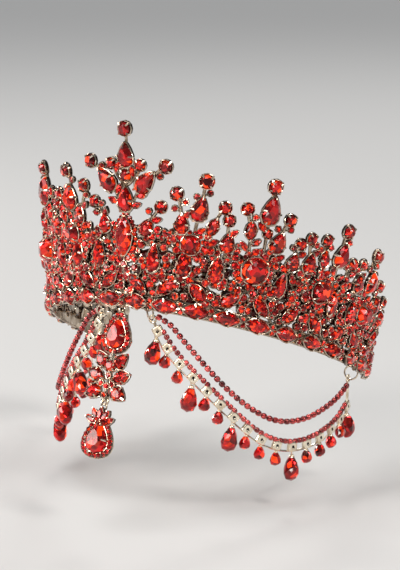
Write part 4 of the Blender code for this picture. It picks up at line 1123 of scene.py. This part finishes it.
for side, hand in SIDES:
    run = smooth_route(CHAIN_ROUTE, SWAG_WIRE)
    run_length = float(np.sum(np.linalg.norm(np.diff(run, axis=0), axis=1)))
    flat = smooth_route(CHAIN_ROUTE, run_length / (SQUARES - 1))
    heading, normal = way_along(flat)
    tilt = -np.arctan2(heading[:, 1], heading[:, 0])
    metal, beads, drops = Pile(), Pile(), Pile()
    places, axes = frames_on(head_side, side * flat[:, 0] / ARC, flat[:, 1], side * tilt)
    metal.stamp((square_points, square_faces, square_unshaded), places, axes, (SQUARE, SQUARE, SQUARE_THICK))
    # The faces of each square's dimple take the near-black painted shade.
    metal.tones = [1 if min(face) % len(square_points) < 24 else 0 for face in metal.faces]
    for shift, radius in ((-SQUARE / 2 + 0.0003, SWAG_WIRE / 2), (SQUARE / 2 - 0.0004, SWAG_WIRE * 0.4)):
        line = smooth_route(CHAIN_ROUTE, 0.0024)
        metal.add(*tube(swag_place(line + way_along(line)[1] * shift, side), radius, 6))

    gap, gap_heading, gap_normal = ((ends[1:] + ends[:-1]) / 2 for ends in (flat, heading, normal))
    row = np.stack([gap + gap_normal * (SQUARE / 2 - 0.0001) + gap_heading * step
                    for step in (-ROW_BEAD, 0.0, ROW_BEAD)], axis=1).reshape(-1, 2)
    row_places = swag_place(row, side)
    beads.stamp(bead_shape(10, 5), row_places, axes_along(row_places), (ROW_BEAD, ROW_BEAD, ROW_BEAD * 0.95))

    for number in range(SQUARES):
        large = number in LARGE_DROPS
        length, width = LARGE_DROP if large else SMALL_DROP
        lean = 0.25 * math.atan2(normal[number][0], normal[number][1])
        hang = SQUARE * 0.62 + length / 2 + (LARGE_DROP_CAP if large else 0.0)
        upwards = np.array([math.sin(lean), math.cos(lean)])
        belly = flat[number] - upwards * hang
        place, drop_axes = frames_on(head_side, side * belly[0] / ARC, belly[1], side * lean)
        drops.stamp(DROP_SHAPE, place, drop_axes, (width, length, 0.42 * width))
        top = belly + upwards * length * 0.44
        foot = flat[number] - normal[number] * (SQUARE / 2 - 0.0004)
        metal.add(*tube(swag_place(np.array([foot, (foot + top) / 2, top]), side), SWAG_WIRE * 0.45, 6))
        crest, crest_axes = frames_on(head_side, side * top[0] / ARC, top[1], side * lean)
        metal.stamp(ball(10, 6), crest, crest_axes, width * 0.34)

    for (link, angle, shift), end in zip(LINKS, (0, -1)):
        rail_eye = crown_wall(side * angle, EYE_RISE)
        eye_angle, eye_up = side * (angle + shift), rail_eye[2] - LINK_DROP
        metal.add(*eye_loop(head_side, eye_angle, eye_up))
        share = np.linspace(0, 1, 5)[1:, None]
        chain_end = np.array([side * flat[end][0] / ARC, flat[end][1]])
        stalk = np.array([eye_angle, eye_up]) * (1 - share) + chain_end * share
        metal.add(*tube(head_side(stalk[:, 0], stalk[:, 1]), SWAG_WIRE * 0.8, 6))
        swag_eye = head_side(eye_angle, eye_up)
        toward = unit(swag_eye - rail_eye)
        outward = np.array([math.sin(side * math.radians(angle)), -math.cos(math.radians(angle)), 0.0])
        outward = unit(outward - toward * float(outward @ toward))
        reach = float(np.linalg.norm(swag_eye - rail_eye)) / 2
        jump_ring = Pile()
        jump_ring.add(*wire_ring((rail_eye + swag_eye) / 2, reach, toward, outward))
        jump_ring.finish(f"{hand}_{link}_jump_ring", [champagne], "crown", "silver_metal", True,
                         [f"{hand}_{link}_ring"])
    metal.tones += [0] * (len(metal.faces) - len(metal.tones))
    metal.finish(f"{hand}_chain_squares", [bright_square, dimple_shade], "crown", "silver_metal", True,
                 [f"{hand}_chain"])
    beads.finish(f"{hand}_chain_beads", [garnet_bead], "crown", "seed_beads", True)
    drops.finish(f"{hand}_chain_drops", [garnet_cut], "crown", "red_glass")

# The box of the solids and that of the finished crown are measured in metres.
low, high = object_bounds()
